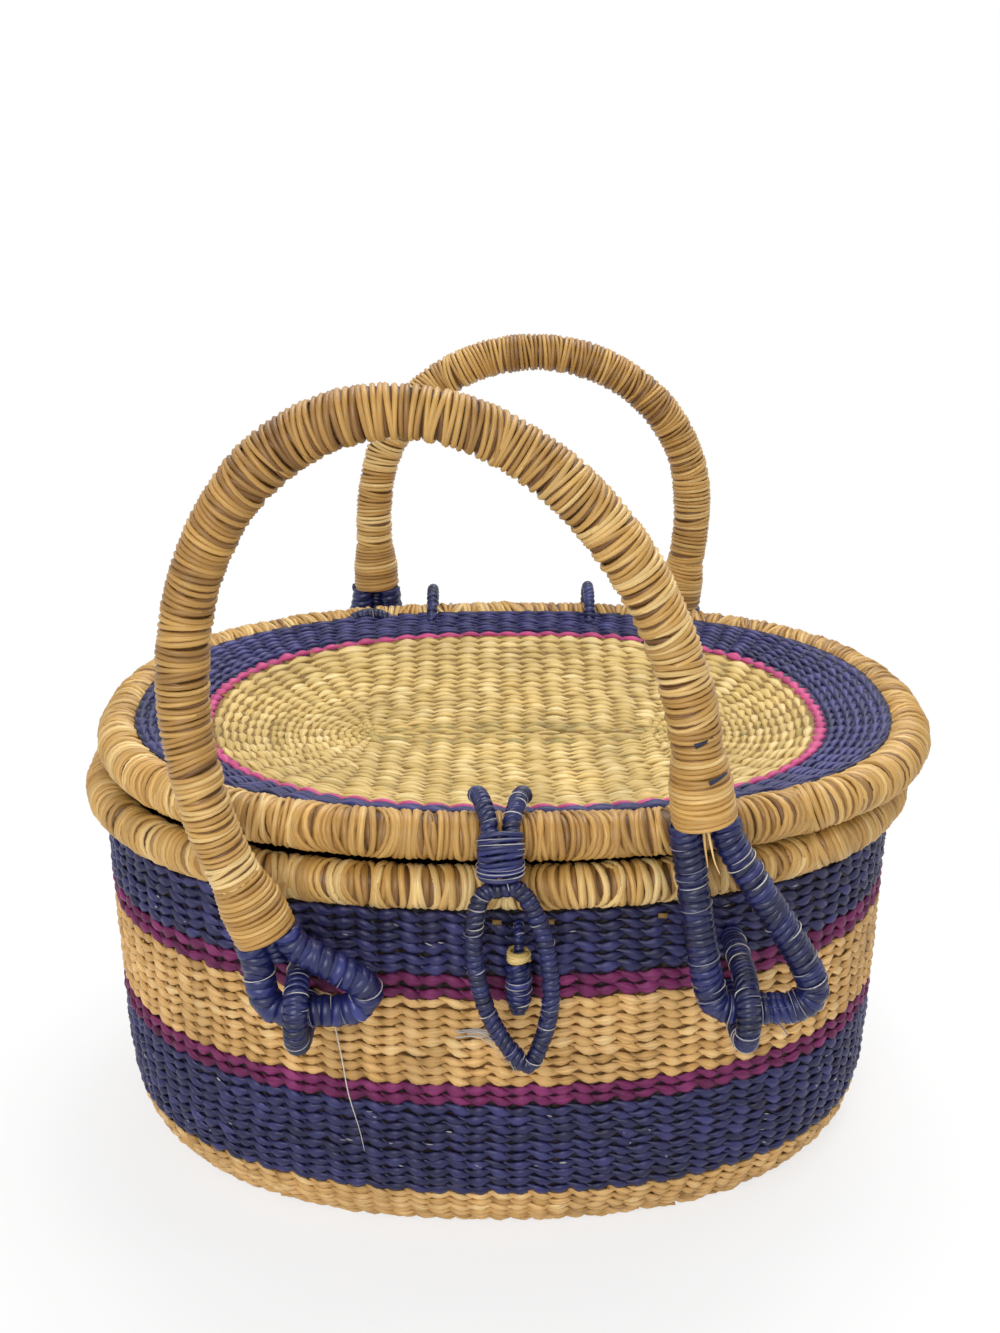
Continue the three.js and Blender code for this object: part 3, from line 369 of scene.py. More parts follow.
def smooth_noise(rng, count, knots, closed=True):
    """Random values from -1 to 1 that run smoothly along a strand."""
    values = rng.uniform(-1, 1, knots + 1)
    if closed:
        values[-1] = values[0]
    place = np.linspace(0, knots, count, endpoint=not closed)
    low = np.minimum(place.astype(int), knots - 1)
    share = place - low
    share = share * share * (3 - 2 * share)
    return values[low] * (1 - share) + values[low + 1] * share


def uneven(rng, count, amount, closed=True):
    """Smooth noise of an amount and a number of knots."""
    return amount[0] * smooth_noise(rng, count, amount[1], closed)


def tapered(count, blunt):
    """Shares of a strand's full width that narrow towards both ends."""
    return np.sin(np.linspace(blunt, np.pi - blunt, count))


def between(wanted, place, points):
    """Points at wanted places on a path, from its points and their places."""
    return np.stack([np.interp(wanted, place, points[:, k]) for k in range(3)], axis=1)


def path_length(points):
    return float(np.linalg.norm(np.diff(points, axis=0), axis=1).sum())


def even_path(points, count, closed=False):
    """A path's points again, at even distances. A closed path's last point repeats its first one."""
    steps = np.linalg.norm(np.diff(points, axis=0), axis=1)
    place = np.concatenate([[0], np.cumsum(steps)])
    return between(np.linspace(0, place[-1], count, endpoint=not closed), place, points)


def blend(t, start, end, first, last):
    """The first point at the start, the last one at the end, and even steps between."""
    return (end - t) / (end - start) * first + (t - start) / (end - start) * last


def smooth_path(points, count, closed=False):
    """A centripetal Catmull-Rom curve through points, sampled at even distances."""
    points = np.array(points, float)
    if closed:
        padded = np.vstack([points[-1], points, points[0], points[1]])
    else:
        padded = np.vstack([2 * points[0] - points[1], points, 2 * points[-1] - points[-2]])
    dense = []
    for p0, p1, p2, p3 in zip(padded, padded[1:], padded[2:], padded[3:]):
        t1 = max(np.linalg.norm(p1 - p0), 1e-6) ** 0.5
        t2 = t1 + max(np.linalg.norm(p2 - p1), 1e-6) ** 0.5
        t3 = t2 + max(np.linalg.norm(p3 - p2), 1e-6) ** 0.5
        t = np.linspace(t1, t2, 40, endpoint=False)[:, None]
        a1 = blend(t, 0, t1, p0, p1)
        a2 = blend(t, t1, t2, p1, p2)
        a3 = blend(t, t2, t3, p2, p3)
        dense.append(blend(t, t1, t2, blend(t, 0, t2, a1, a2), blend(t, t1, t3, a2, a3)))
    dense = np.vstack([*dense, points[:1] if closed else points[-1:]])
    return even_path(dense, count, closed)


class Straw:
    """Strands of straw gathered for one mesh: each is a flat rounded section swept along a path."""

    def __init__(self):
        self.points = []
        self.tints = []
        self.quads = []
        self.quad_maps = []
        self.caps = []
        self.count = 0

    def add(self, path, out, half_width, half_thick, tint, closed=False, sides=6):
        """Adds one strand whose broad side faces the way out."""
        count = len(path)
        if closed:
            along = np.roll(path, -1, axis=0) - np.roll(path, 1, axis=0)
        else:
            along = np.gradient(path, axis=0)
        along = unit(along)
        across = unit(np.cross(out, along))
        facing = np.cross(along, across)
        turn = 2 * np.pi * (np.arange(sides) + 0.5) / sides
        width = np.broadcast_to(half_width, count)[:, None, None]
        thick = np.broadcast_to(half_thick, count)[:, None, None]
        corners = (
            path[:, None, :]
            + across[:, None, :] * width * np.cos(turn)[None, :, None]
            + facing[:, None, :] * thick * np.sin(turn)[None, :, None]
        )
        self.points.append(corners.reshape(-1, 3))
        self.tints.append(np.repeat(np.broadcast_to(tint, count), sides))
        spans = count if closed else count - 1
        here = np.arange(spans)[:, None] * sides
        there = (here + sides) % (count * sides)
        side = np.arange(sides)[None, :]
        next_side = (side + 1) % sides
        first = self.count
        quads = np.stack([here + side, here + next_side, there + next_side, there + side], axis=-1)
        self.quads.append(quads.reshape(-1, 4) + first)
        ends = np.roll(path, -1, axis=0) if closed else path[1:]
        steps = np.linalg.norm(ends - path[:spans], axis=1)
        place = np.concatenate([[0], np.cumsum(steps)]) / STRAND_MAP_UNIT
        low, high = place[:-1, None], place[1:, None]
        left = side / sides
        right = left + 1 / sides
        maps = np.broadcast_arrays(left, low, right, low, right, high, left, high)
        self.quad_maps.append(np.stack(maps, axis=-1).reshape(-1, 8))
        if not closed:
            self.caps.append(first + np.arange(sides)[::-1])
            self.caps.append(first + (count - 1) * sides + np.arange(sides))
        self.count += count * sides

    def mesh(self, name):
        """The mesh of all strands, with each strand's tint and its map along and round the strand."""
        points = np.vstack(self.points) * MILLIMETRE
        quads = np.vstack(self.quads)
        corner_index = np.concatenate([quads.ravel(), *self.caps])
        totals = np.concatenate([np.full(len(quads), 4), [len(cap) for cap in self.caps]]).astype(int)
        starts = np.concatenate([[0], np.cumsum(totals)[:-1]])
        mesh = bpy.data.meshes.new(name)
        mesh.vertices.add(len(points))
        mesh.vertices.foreach_set("co", points.ravel())
        mesh.loops.add(len(corner_index))
        mesh.loops.foreach_set("vertex_index", corner_index.astype(np.int32))
        mesh.polygons.add(len(totals))
        mesh.polygons.foreach_set("loop_start", starts.astype(np.int32))
        mesh.polygons.foreach_set("use_smooth", np.ones(len(totals), bool))
        mesh.update(calc_edges=True)
        tint = mesh.attributes.new("tint", "FLOAT", "POINT")
        tint.data.foreach_set("value", np.concatenate(self.tints).astype(np.float32))
        strand_map = np.zeros((len(corner_index), 2), np.float32)
        strand_map[: quads.size] = np.vstack(self.quad_maps).reshape(-1, 2)
        uv = mesh.uv_layers.new(name="strand")
        uv.data.foreach_set("uv", strand_map.ravel())
        return mesh


def add_object(name, data):
    item = bpy.data.objects.new(name, data)
    bpy.context.scene.collection.objects.link(item)
    return item


def add_piece(name, straw, material, body, slot, *nodes):
    """Makes one visible piece that rides on a body and stands for some CAD nodes."""
    piece = add_object(name, straw.mesh(name))
    piece.data.materials.append(material)
    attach(piece, body)
    if nodes:
        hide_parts(*nodes)


# Materials


def linear(hex_colour):
    """A written colour such as d2a56a as Blender's linear red, green, blue and alpha."""
    channels = [int(hex_colour[k : k + 2], 16) / 255 for k in (0, 2, 4)]
    return (*[c / 12.92 if c <= 0.04045 else ((c + 0.055) / 1.055) ** 2.4 for c in channels], 1)


def set_values(node, values):
    """Sets a node's sockets, from their names and values."""
    for socket, value in dict(values).items():
        node.inputs[socket].default_value = value


def shader_node(tree, kind, values=(), sources=(), operation=None):
    """A shader node with values on some of its sockets and links into others."""
    node = tree.nodes.new(f"ShaderNode{kind}")
    if operation:
        node.operation = operation
    set_values(node, values)
    for socket, source in dict(sources).items():
        tree.links.new(source, node.inputs[socket])
    return node


def maths(tree, operation, first, second):
    return shader_node(tree, "Math", sources={0: first, 1: second}, operation=operation).outputs["Value"]


def straw_material(name, tones, roughness=(0.42, 0.62), gloss=0.35, spots=0.12):
    """Dyed or natural straw: tones vary from strand to strand, with streaks along each one."""
    material = bpy.data.materials.new(name)
    material.use_nodes = True
    tree = material.node_tree
    shader = tree.nodes["Principled BSDF"]
    set_values(shader, {"Specular IOR Level": gloss})

    tint = shader_node(tree, "Attribute")
    tint.attribute_name = "tint"
    ramp = shader_node(tree, "ValToRGB", sources={"Fac": tint.outputs["Fac"]})
    ramp.color_ramp.elements[0].color = linear(tones[0])
    ramp.color_ramp.elements[-1].color = linear(tones[-1])
    for k, tone in enumerate(tones[1:-1], 1):
        stop = ramp.color_ramp.elements.new(k / (len(tones) - 1))
        stop.color = linear(tone)

    def noise(place, scale, detail):
        values = {"Scale": scale, "Detail": detail}
        return shader_node(tree, "TexNoise", values, {"Vector": place}).outputs["Fac"]

    def spread(value, low, high):
        """The middle of a noise's range, spread from low to high."""
        values = dict(zip(("From Min", "From Max", "To Min", "To Max"), (*NOISE_MIDDLE, low, high)))
        return shader_node(tree, "MapRange", values, {"Value": value}).outputs["Result"]

    strand_map = shader_node(tree, "UVMap")
    strand_map.uv_map = "strand"
    stretch = shader_node(tree, "Mapping", {"Scale": FIBRE_SCALE}, {"Vector": strand_map.outputs["UV"]})
    fibre = noise(stretch.outputs["Vector"], 1, FIBRE_DETAIL)
    blotch = noise(shader_node(tree, "TexCoord").outputs["Object"], BLOTCH_SCALE, BLOTCH_DETAIL)
    level = maths(tree, "MULTIPLY", spread(fibre, *FIBRE_LEVELS), spread(blotch, 1 - spots, 1 + spots))
    colour = {0: ramp.outputs["Color"], "Scale": level}
    shaded = shader_node(tree, "VectorMath", sources=colour, operation="SCALE")
    tree.links.new(shaded.outputs["Vector"], shader.inputs["Base Color"])
    tree.links.new(spread(fibre, roughness[1], roughness[0]), shader.inputs["Roughness"])
    bump = shader_node(tree, "Bump", {"Strength": FIBRE_BUMP, "Distance": FIBRE_HEIGHT}, {"Height": fibre})
    tree.links.new(bump.outputs["Normal"], shader.inputs["Normal"])
    return material


# Each kind of straw has its tones from dark to light
NATURAL = straw_material("straw_natural", ("856032", "c09557", "d6ac6f", "e6c68c"))
RIM_TONES = ("6e4a22", "a67c3e", "c49a54", "e2c486")
RIM_STRAW = straw_material("straw_rim", RIM_TONES, roughness=(0.32, 0.55), gloss=0.5)
PALE = straw_material("straw_pale", ("97874c", "c4a662", "d6ba78", "e8d298"))
# painted shade: the bundles inside the rim and handle windings are dark brown, standing in for the shade in
# the slits between the turns
CORE_PAINTED_SHADE = straw_material("straw_core", ("3a2611", "523818", "6b4d26"))
# The darkest tones are painted shade, for the gaps between the dyed strands
STAKE = straw_material("straw_stake_and_gap_shade", ("1a1413", "2e2015", "5a3f20", "7d5a2e"))
LID_STAKE = straw_material("straw_lid_stake", ("7d602f", "937440", "a6864e"))
BLUE_TONES = ("0f0f2a", "1c1c44", "2a2957", "3c3a70")
BLUE = straw_material("straw_blue", BLUE_TONES, roughness=(0.32, 0.55), spots=0.2)
WOUND_BLUE_TONES = ("0a0d2a", "131845", "1d235c", "2d3478")
WOUND_BLUE = straw_material("straw_wound_blue", WOUND_BLUE_TONES, roughness=(0.24, 0.45), gloss=0.5)
NICK = straw_material("straw_nick", ("77778c", "a6a4a8", "d2cdc0"))
PURPLE = straw_material("straw_purple", ("380726", "56153e", "6e2253", "883468"), gloss=0.25)
PINK = straw_material("straw_pink", ("9c3566", "bb4579", "d0588c"))


# Weaving


def twine(straw, grid, rng, drawn=None, bulge=1.35, wave=0.0, twist=0.5, thick=1.2, tint=0.5):
    """Twines pairs of strands round stakes. Each row of the grid is a closed line through the weave's
    middle, with a stake every STEPS_PER_STAKE points, and the two strands change places between stakes."""
    rows, count, _ = grid.shape
    along = np.roll(grid, -1, axis=1) - np.roll(grid, 1, axis=1)
    across = np.gradient(grid, axis=0)
    pitch = np.linalg.norm(across, axis=-1)
    across = across / pitch[..., None]
    out = unit(np.cross(along, across))
    turn = np.pi * np.arange(count) / STEPS_PER_STAKE
    for row in drawn if drawn is not None else range(rows):
        drift = rng.uniform(-ROW_START, ROW_START) + uneven(rng, count, ROW_DRIFT)
        sag = pitch[row] * uneven(rng, count, ROW_SAG)
        phase = turn + drift
        for strand in (1, -1):
            front = np.cos(phase) * strand
            slide = -(wave + strand * twist) * np.sin(phase) + sag
            lift = bulge * front * (1 + uneven(rng, count, STRAND_LIFT))
            path = grid[row] + across[row] * slide[:, None] + out[row] * lift[:, None]
            fullness = 0.5 + 0.5 * np.cos(phase) ** 2
            width = pitch[row] * STRAND_HALF_WIDTH * fullness * (1 + uneven(rng, count, STRAND_WIDTH))
            shade = tint + uneven(rng, count, SLOW_TONE) + uneven(rng, count, QUICK_TONE)
            # Painted highlight on each strand's crest and painted shade where it dips
            shade = shade + CREST_PAINTED_LIGHT_AND_SHADE * (fullness - MEAN_FULLNESS)
            straw.add(path, out[row], width, thick, np.clip(shade, 0, 1), closed=True)


def stakes(straw, grid, rng, tint=0.5):
    """Broad flat straws across the rows of a grid, which the strands go round and which close the gaps."""
    count = grid.shape[1]
    for place in range(0, count, STEPS_PER_STAKE):
        path = grid[:, place]
        beside = grid[:, (place + STEPS_PER_STAKE) % count] - path
        out = unit(np.cross(beside, np.gradient(path, axis=0)))
        half_width = STAKE_HALF_WIDTH * np.linalg.norm(beside, axis=1)
        shade = np.clip(tint + rng.uniform(-STAKE_TONE_SPREAD, STAKE_TONE_SPREAD), 0, 1)
        straw.add(path - out * STAKE_HALF_THICK, out, half_width, STAKE_HALF_THICK, shade)


def wall_rows():
    """Heights of the wall's rows: even steps along each band's slope."""
    heights = []
    low = WALL_FOOT
    for top, rows in zip(BAND_TOPS, BAND_ROWS):
        z = np.linspace(low, top, 200)
        slope = np.hypot(np.gradient(z), np.gradient(wall_offset(z)))
        place = np.concatenate([[0], np.cumsum(slope[1:])])
        wanted = (np.arange(rows) + 0.5) / rows * place[-1]
        heights.append(np.interp(wanted, place, z))
        low = top
    return np.concatenate(heights)


def wall_line(z, count):
    """A closed line round the weave's middle at one height, which starts at the middle of the front."""
    offset = wall_offset(z) - WALL_MIDDLE
    line = oval_points(RIM_HALF_LENGTH + offset, RIM_HALF_DEPTH + offset, z, 2000)
    return even_path(line, count, closed=True)


def build_wall(rng):
    count = WALL_STAKES * STEPS_PER_STAKE
    grid = np.stack([wall_line(z, count) for z in wall_rows()])
    materials = {"natural": NATURAL, "blue": BLUE, "purple": PURPLE}
    first = 0
    for name, rows in zip(BAND_NAMES, BAND_ROWS):
        straw = Straw()
        twine(straw, grid, rng, range(first, first + rows), wave=WALL_WAVE)
        colour = name.split("_")[1]
        add_piece(f"weave_{name}", straw, materials[colour], "basket", f"straw_{colour}", f"band_{name}")
        first += rows
    straw = Straw()
    top = np.stack([wall_line(z, count) for z in STAKE_TOPS])
    # Stakes behind dyed rows and in the rim take the painted shade's near black
    tints = [NATURAL_STAKE_TONE if "natural" in name else DYED_BAND_STAKE_SHADE for name in BAND_NAMES]
    tints = np.append(np.repeat(tints, BAND_ROWS), [DYED_BAND_STAKE_SHADE] * len(STAKE_TOPS))
    stakes(straw, np.concatenate([grid, top]), rng, tints)
    add_piece("wall_stakes", straw, STAKE, "basket", "straw_core", "stake_cage")


def oval_line(half_length, half_depth, height, fan_stakes):
    """A closed line of a woven oval. Its stakes run straight across the middle and fan out at the ends."""
    points = oval_points(half_length, half_depth, height)
    x, y = np.abs(points[:, 0]), np.abs(points[:, 1])
    spine = SPINE[0]
    fan = np.arctan2(np.maximum(x - spine, 0), y + 1e-9)
    straight = np.minimum(x, spine) / SPINE_STAKE_PITCH
    column = straight + fan / (np.pi / 2) * fan_stakes
    place = np.concatenate([[0], np.cumsum(np.abs(np.diff(column)))])
    stakes_round = 4 * (round(spine / SPINE_STAKE_PITCH) + fan_stakes)
    wanted = np.arange(stakes_round * STEPS_PER_STAKE) / STEPS_PER_STAKE * place[-1] / stakes_round
    return between(wanted, place, points)


def lid_height(half_depth):
    """Height of the lid weave's middle: a dish with a flat middle and steep edges."""
    return LID_EDGE_HEIGHT - LID_DISH * (1 - (half_depth / LID_EDGE[1]) ** LID_DISH_POWER) - LID_MIDDLE


def base_height(_):
    """The base is flat, so its rows lie at one height."""
    return BASE_MIDDLE


def woven_grid(start, end, shares, fan_stakes, height):
    """Rows of a woven oval at some shares of the way from one oval to another."""
    lines = []
    for share in shares:
        half_length = start[0] + (end[0] - start[0]) * share
        half_depth = start[1] + (end[1] - start[1]) * share
        lines.append(oval_line(half_length, half_depth, height(half_depth), fan_stakes))
    return np.stack(lines)


def lid_grid(start, end, shares, fan_stakes):
    return woven_grid(start, end, shares, fan_stakes, lid_height) + (LID_X, 0, 0)


def spine_strands(straw, x_shift, height, rng):
    """Straight strands along the line that a woven oval grows from, over one broad flat straw."""
    x = np.linspace(-SPINE[0], SPINE[0], 120)
    flat = np.stack([x + x_shift, np.zeros_like(x), np.full_like(x, height)], axis=1)
    straw.add(flat, Z_AXIS, *SPINE_FLAT)
    for y in SPINE_STRANDS:
        z = height + SPINE_STRAND_WAVE * np.cos(np.pi * x / SPINE_STAKE_PITCH + y)
        wander = uneven(rng, len(x), SPINE_STRAND_WANDER, False)
        path = np.stack([x + x_shift, y + wander, z], axis=1)
        straw.add(path, Z_AXIS, *SPINE_STRAND_SIZE, rng.uniform(*SPINE_TONES))


def build_lid(rng):
    shares = (np.arange(LID_ROWS) + 0.5) / LID_ROWS
    inner = lid_grid(SPINE, CENTRE_EDGE, shares[:LID_INNER_ROWS], INNER_FAN)
    outer = lid_grid(SPINE, CENTRE_EDGE, shares[LID_INNER_ROWS:], OUTER_FAN)
    accent = lid_grid(CENTRE_EDGE, LID_EDGE, ACCENT_SHARES, BORDER_FAN)
    border = lid_grid(ACCENT, LID_EDGE, BORDER_SHARES, BORDER_FAN)
    straw = Straw()
    # The first rows take the painted shade of the fold along the spine
    twine(straw, inner, rng, range(LID_FOLD_SHADE_ROWS), LID_BULGE, tint=LID_FOLD_PAINTED_SHADE)
    twine(straw, inner, rng, range(LID_FOLD_SHADE_ROWS, LID_INNER_ROWS), LID_BULGE)
    twine(straw, outer, rng, bulge=LID_BULGE)
    spine_strands(straw, LID_X, lid_height(SPINE[1]), rng)
    add_piece("lid_weave_centre", straw, PALE, "lid", "straw_pale", "lid_panel_centre")
    straw = Straw()
    twine(straw, accent, rng, [1], **THICK_TWINE)
    add_piece("lid_weave_accent", straw, PINK, "lid", "straw_pink", "lid_accent_row")
    straw = Straw()
    twine(straw, border, rng, bulge=LID_BULGE, tint=BORDER_TONE)
    add_piece("lid_weave_border", straw, BLUE, "lid", "straw_blue", "lid_panel_border")
    straw = Straw()
    for count, fan_stakes, first, last in LID_STAKES:
        stakes(straw, lid_grid(SPINE, CENTRE_EDGE, np.linspace(first, last, count), fan_stakes), rng)
    add_piece("lid_centre_stakes", straw, LID_STAKE, "lid", "straw_pale")
    straw = Straw()
    stakes(straw, lid_grid(CENTRE_EDGE, LID_EDGE, BORDER_STAKE_SHARES, BORDER_FAN), rng, BORDER_STAKE_TONE)
    add_piece("lid_border_stakes", straw, BLUE, "lid", "straw_blue")


def build_base(rng):
    edge = wall_offset(WALL_FOOT) - BASE_INSET
    end = (RIM_HALF_LENGTH + edge, RIM_HALF_DEPTH + edge)
    straw = Straw()
    spine_strands(straw, 0, BASE_MIDDLE, rng)
    for rows, fan_stakes, first, last in BASE_ROWS:
        grid = woven_grid(SPINE, end, np.linspace(first, last, rows), fan_stakes, base_height)
        twine(straw, grid, rng, **THICK_TWINE)
    for count, fan_stakes, first, last in BASE_STAKES:
        stakes(straw, woven_grid(SPINE, end, np.linspace(first, last, count), fan_stakes, base_height), rng)
    add_piece("base_weave", straw, NATURAL, "basket", "straw_natural", "base_panel")


# Windings


def around(path, normal, radius, place, turn, flat=1.0, closed=False):
    """Points on a wound bundle and the ways outwards there, from places along its path and turns round it.
    The path lies near a plane with the given normal, and flat scales the bundle along that normal."""
    if closed:
        path = np.vstack([path, path[:1]])
    spots = np.linspace(0, 1, len(path))
    centre = between(place, spots, path)
    slope = np.gradient(path, axis=0)
    if closed:
        slope[0] = slope[-1] = path[1] - path[-2]
    along = unit(between(place, spots, slope))
    upright = unit(normal - along * (along @ normal)[:, None])
    out = np.cross(upright, along) * np.cos(turn)[:, None] + upright * (flat * np.sin(turn))[:, None]
    reach = np.interp(place, spots, np.broadcast_to(radius, len(path)))
    return centre, out, reach


def wind(
    straw, path, normal, radius, turns, rng, width,
    closed=False, steps=14, thick=1.0, loose=1.0, flat=1.0, tint=0.5,
):
    """Winds one unbroken strand round a path. No two turns lie quite alike."""
    count = turns * steps

    def noise(knots=turns):
        return smooth_noise(rng, count, knots, closed)

    turn = 2 * np.pi * np.arange(count) / steps
    wander = TURN_WANDER * noise()
    slant = TURN_SLANT * noise(max(3, turns // 5)) + noise()
    place = (np.arange(count) / steps + loose * (wander + slant * np.cos(turn + SLANT_PHASE))) / turns
    place = place % 1 if closed else np.clip(place, 0, 1)
    centre, out, reach = around(path, normal, radius, place, turn, flat, closed)
    reach = reach - thick - loose * SLACK_DEPTH * (1 + noise()) / 2
    half_width = width * (1 + loose * SLACK_WIDTH * noise())
    shade = np.clip(tint + TURN_TONE * noise() + uneven(rng, count, WINDING_TONE, closed), 0, 1)
    straw.add(centre + out * reach[:, None], unit(out), half_width, thick, shade, closed=closed)


def pale_lines(name, path, normal, radius, turns, share, body, rng, closed=False, flat=1.0):
    """Undyed edges that show between some turns of a dyed winding."""
    straw = Straw()
    half_width, half_thick = PALE_LINE_SIZE
    taper = tapered(PALE_LINE_POINTS, BLUNTNESS)
    for _ in range(max(2, round(turns * share))):
        start = rng.uniform(0, turns - 1.5)
        turn = start + np.linspace(0, rng.uniform(*PALE_LINE_TURNS), PALE_LINE_POINTS)
        place = (turn + 0.5) / turns
        centre, out, reach = around(path, normal, radius, place, 2 * np.pi * turn, flat, closed)
        line = centre + out * (reach - PALE_LINE_DEPTH)[:, None]
        straw.add(line, unit(out), half_width * taper, half_thick * taper, rng.uniform(0, 1))
    add_piece(name, straw, NICK, body, "straw_pale")


def tube(straw, path, normal, radius, closed=False, sides=10):
    """The bundle inside a winding."""
    straw.add(path, normal, radius, radius, 0.5, closed, sides)


def build_rim(name, sizes, x_shift, body, rng):
    half_width, half_height, height, turns = sizes
    half_height = half_height - RIM_SLACK
    line = oval_points(RIM_HALF_LENGTH, RIM_HALF_DEPTH, height) + (x_shift, 0, 0)
    path = even_path(line, RIM_POINTS, closed=True)
    straw = Straw()
    bundle_size = (half_width - RIM_BUNDLE_INSET, half_height - RIM_BUNDLE_INSET)
    # The bundle's dark core straw is painted shade where it shows between the windings
    straw.add(path, Z_AXIS, *bundle_size, 0.5, closed=True, sides=BUNDLE_SIDES)
    add_piece(f"{name}_rim_bundle", straw, CORE_PAINTED_SHADE, body, "straw_core", f"{name}_rim_core")
    straw = Straw()
    swell = half_width * (1 + uneven(rng, len(path) + 1, RIM_SWELL))
    pitch = path_length(line) / turns
    winding = {"closed": True, "steps": WRAP_STEPS, "flat": half_height / half_width}
    for depth, width, looks in RIM_LAYERS:
        wind(straw, path, Z_AXIS, swell - depth, turns, rng, pitch * width, **winding, **looks)
    add_piece(f"{name}_rim_windings", straw, RIM_STRAW, body, "straw_natural", f"{name}_rim_wrap")


def wound_piece(name, path, normal, radius, body, rng, node, pitch, closed=False, pale=0.55, tint=0.5):
    """A blue strand bundle with its winding, as one piece, and the pale lines on it."""
    length = path_length(np.vstack([path, path[:1]]) if closed else path)
    turns = round(length / pitch)
    straw = Straw()
    tube(straw, path, normal, radius - WOUND_BUNDLE_INSET, closed)
    looks = {"closed": closed, "thick": min(1.0, float(np.mean(radius)) / 4), "tint": tint, **WOUND_LOOKS}
    wind(straw, path, normal, radius, turns, rng, pitch * WOUND_HALF_WIDTH, **looks)
    add_piece(name, straw, WOUND_BLUE, body, "straw_blue", node)
    if pale:
        pale_lines(f"{name}_pale_lines", path, normal, radius, turns, pale, body, rng, closed)


def wound_detail(name, path, normal, radius, turns, body, rng):
    """A short wound bundle that stands for no CAD node."""
    straw = Straw()
    half_width = DETAIL_HALF_WIDTH * path_length(path) / turns
    wind(straw, path, normal, radius, turns, rng, half_width, **DETAIL_LOOKS)
    tube(straw, path, normal, radius - 1)
    add_piece(name, straw, WOUND_BLUE, body, "straw_blue")


# Handles


def handle_path(half_width, arch_height, x, end_height, tilt, plane_depth):
    """A handle's centre line: two legs and half an oval, tilted in its plane."""
    flat = [(-HANDLE_END_HALF_SPAN, 0)]
    for turn in np.linspace(np.pi, 0, 9):
        flat.append((half_width * math.cos(turn), HANDLE_LEG + arch_height * math.sin(turn)))
    flat.append((HANDLE_END_HALF_SPAN, 0))
    c, s = math.cos(math.radians(tilt)), math.sin(math.radians(tilt))
    points = []
    for u, w in flat:
        z = RIM_HEIGHT + end_height + u * s + w * c
        points.append((x + u * c - w * s, plane_depth(z), z))
    return smooth_path(points, 600)


def handle_ring(end, axial, normal, bar):
    """A ring's centre line: two legs out of the cuff, two bends and a bar that lies in the wall loop."""
    straight = RING_HALF_WIDTH - RING_BEND
    sideways = unit(np.cross(normal, axial))
    sideways = sideways * np.sign(sideways[0])

    def leg(side):
        top = end + axial * SEAT_GAP + sideways * side * RING_LEG_OFFSET
        points = [top, top + axial * RING_RADIUS]
        for turn in (np.pi / 2, np.pi / 4, 0):
            across = RING_SHIFT + side * (straight + RING_BEND * math.sin(turn))
            points.append(bar + (across, 0, RING_BEND * (1 - math.cos(turn))))
        return points

    return smooth_path([*leg(-1), bar + (RING_SHIFT, 0, 0), *leg(1)[::-1]], 160)


def wall_loop(x, side, axis):
    """A wall loop's centre line, from the wall round the ring's bar and back into the wall."""
    reach = RING_RADIUS + RING_ROOM + WALL_LOOP_RADIUS
    depth, middle = abs(axis[1]), axis[2]
    high, low = middle + reach, middle - reach
    high_seat, low_seat = wall_depth(x, high), wall_depth(x, low)
    points = [(x, side * (high_seat - ROOT_DEPTH), high), (x, side * (high_seat + WALL_LOOP_RADIUS), high)]
    for turn in np.linspace(np.pi / 2, -np.pi / 2, 5):
        points.append((x, side * (depth + reach * math.cos(turn)), middle + reach * math.sin(turn)))
    points.append((x, side * (low_seat + WALL_LOOP_RADIUS), low))
    points.append((x, side * (low_seat - ROOT_DEPTH), low))
    return smooth_path(points, 120)


def build_cuff(name, inward, spots, normal, body, rng):
    """The thick binding at a handle's end, on a path that runs inwards from that end."""
    near = even_path(inward[spots <= CUFF_REACH], CUFF_POINTS)
    bell = np.interp(np.linspace(0, CUFF_REACH, CUFF_POINTS), CUFF_PLACES, CUFF_RADII)
    straw = Straw()
    for depth, turns, width, looks in CUFF_LAYERS:
        wind(straw, near, normal, bell - depth, turns, rng, CUFF_REACH / turns * width, **looks)
    add_piece(f"{name}_binding", straw, RIM_STRAW, body, "straw_natural", f"{name}_cuff")


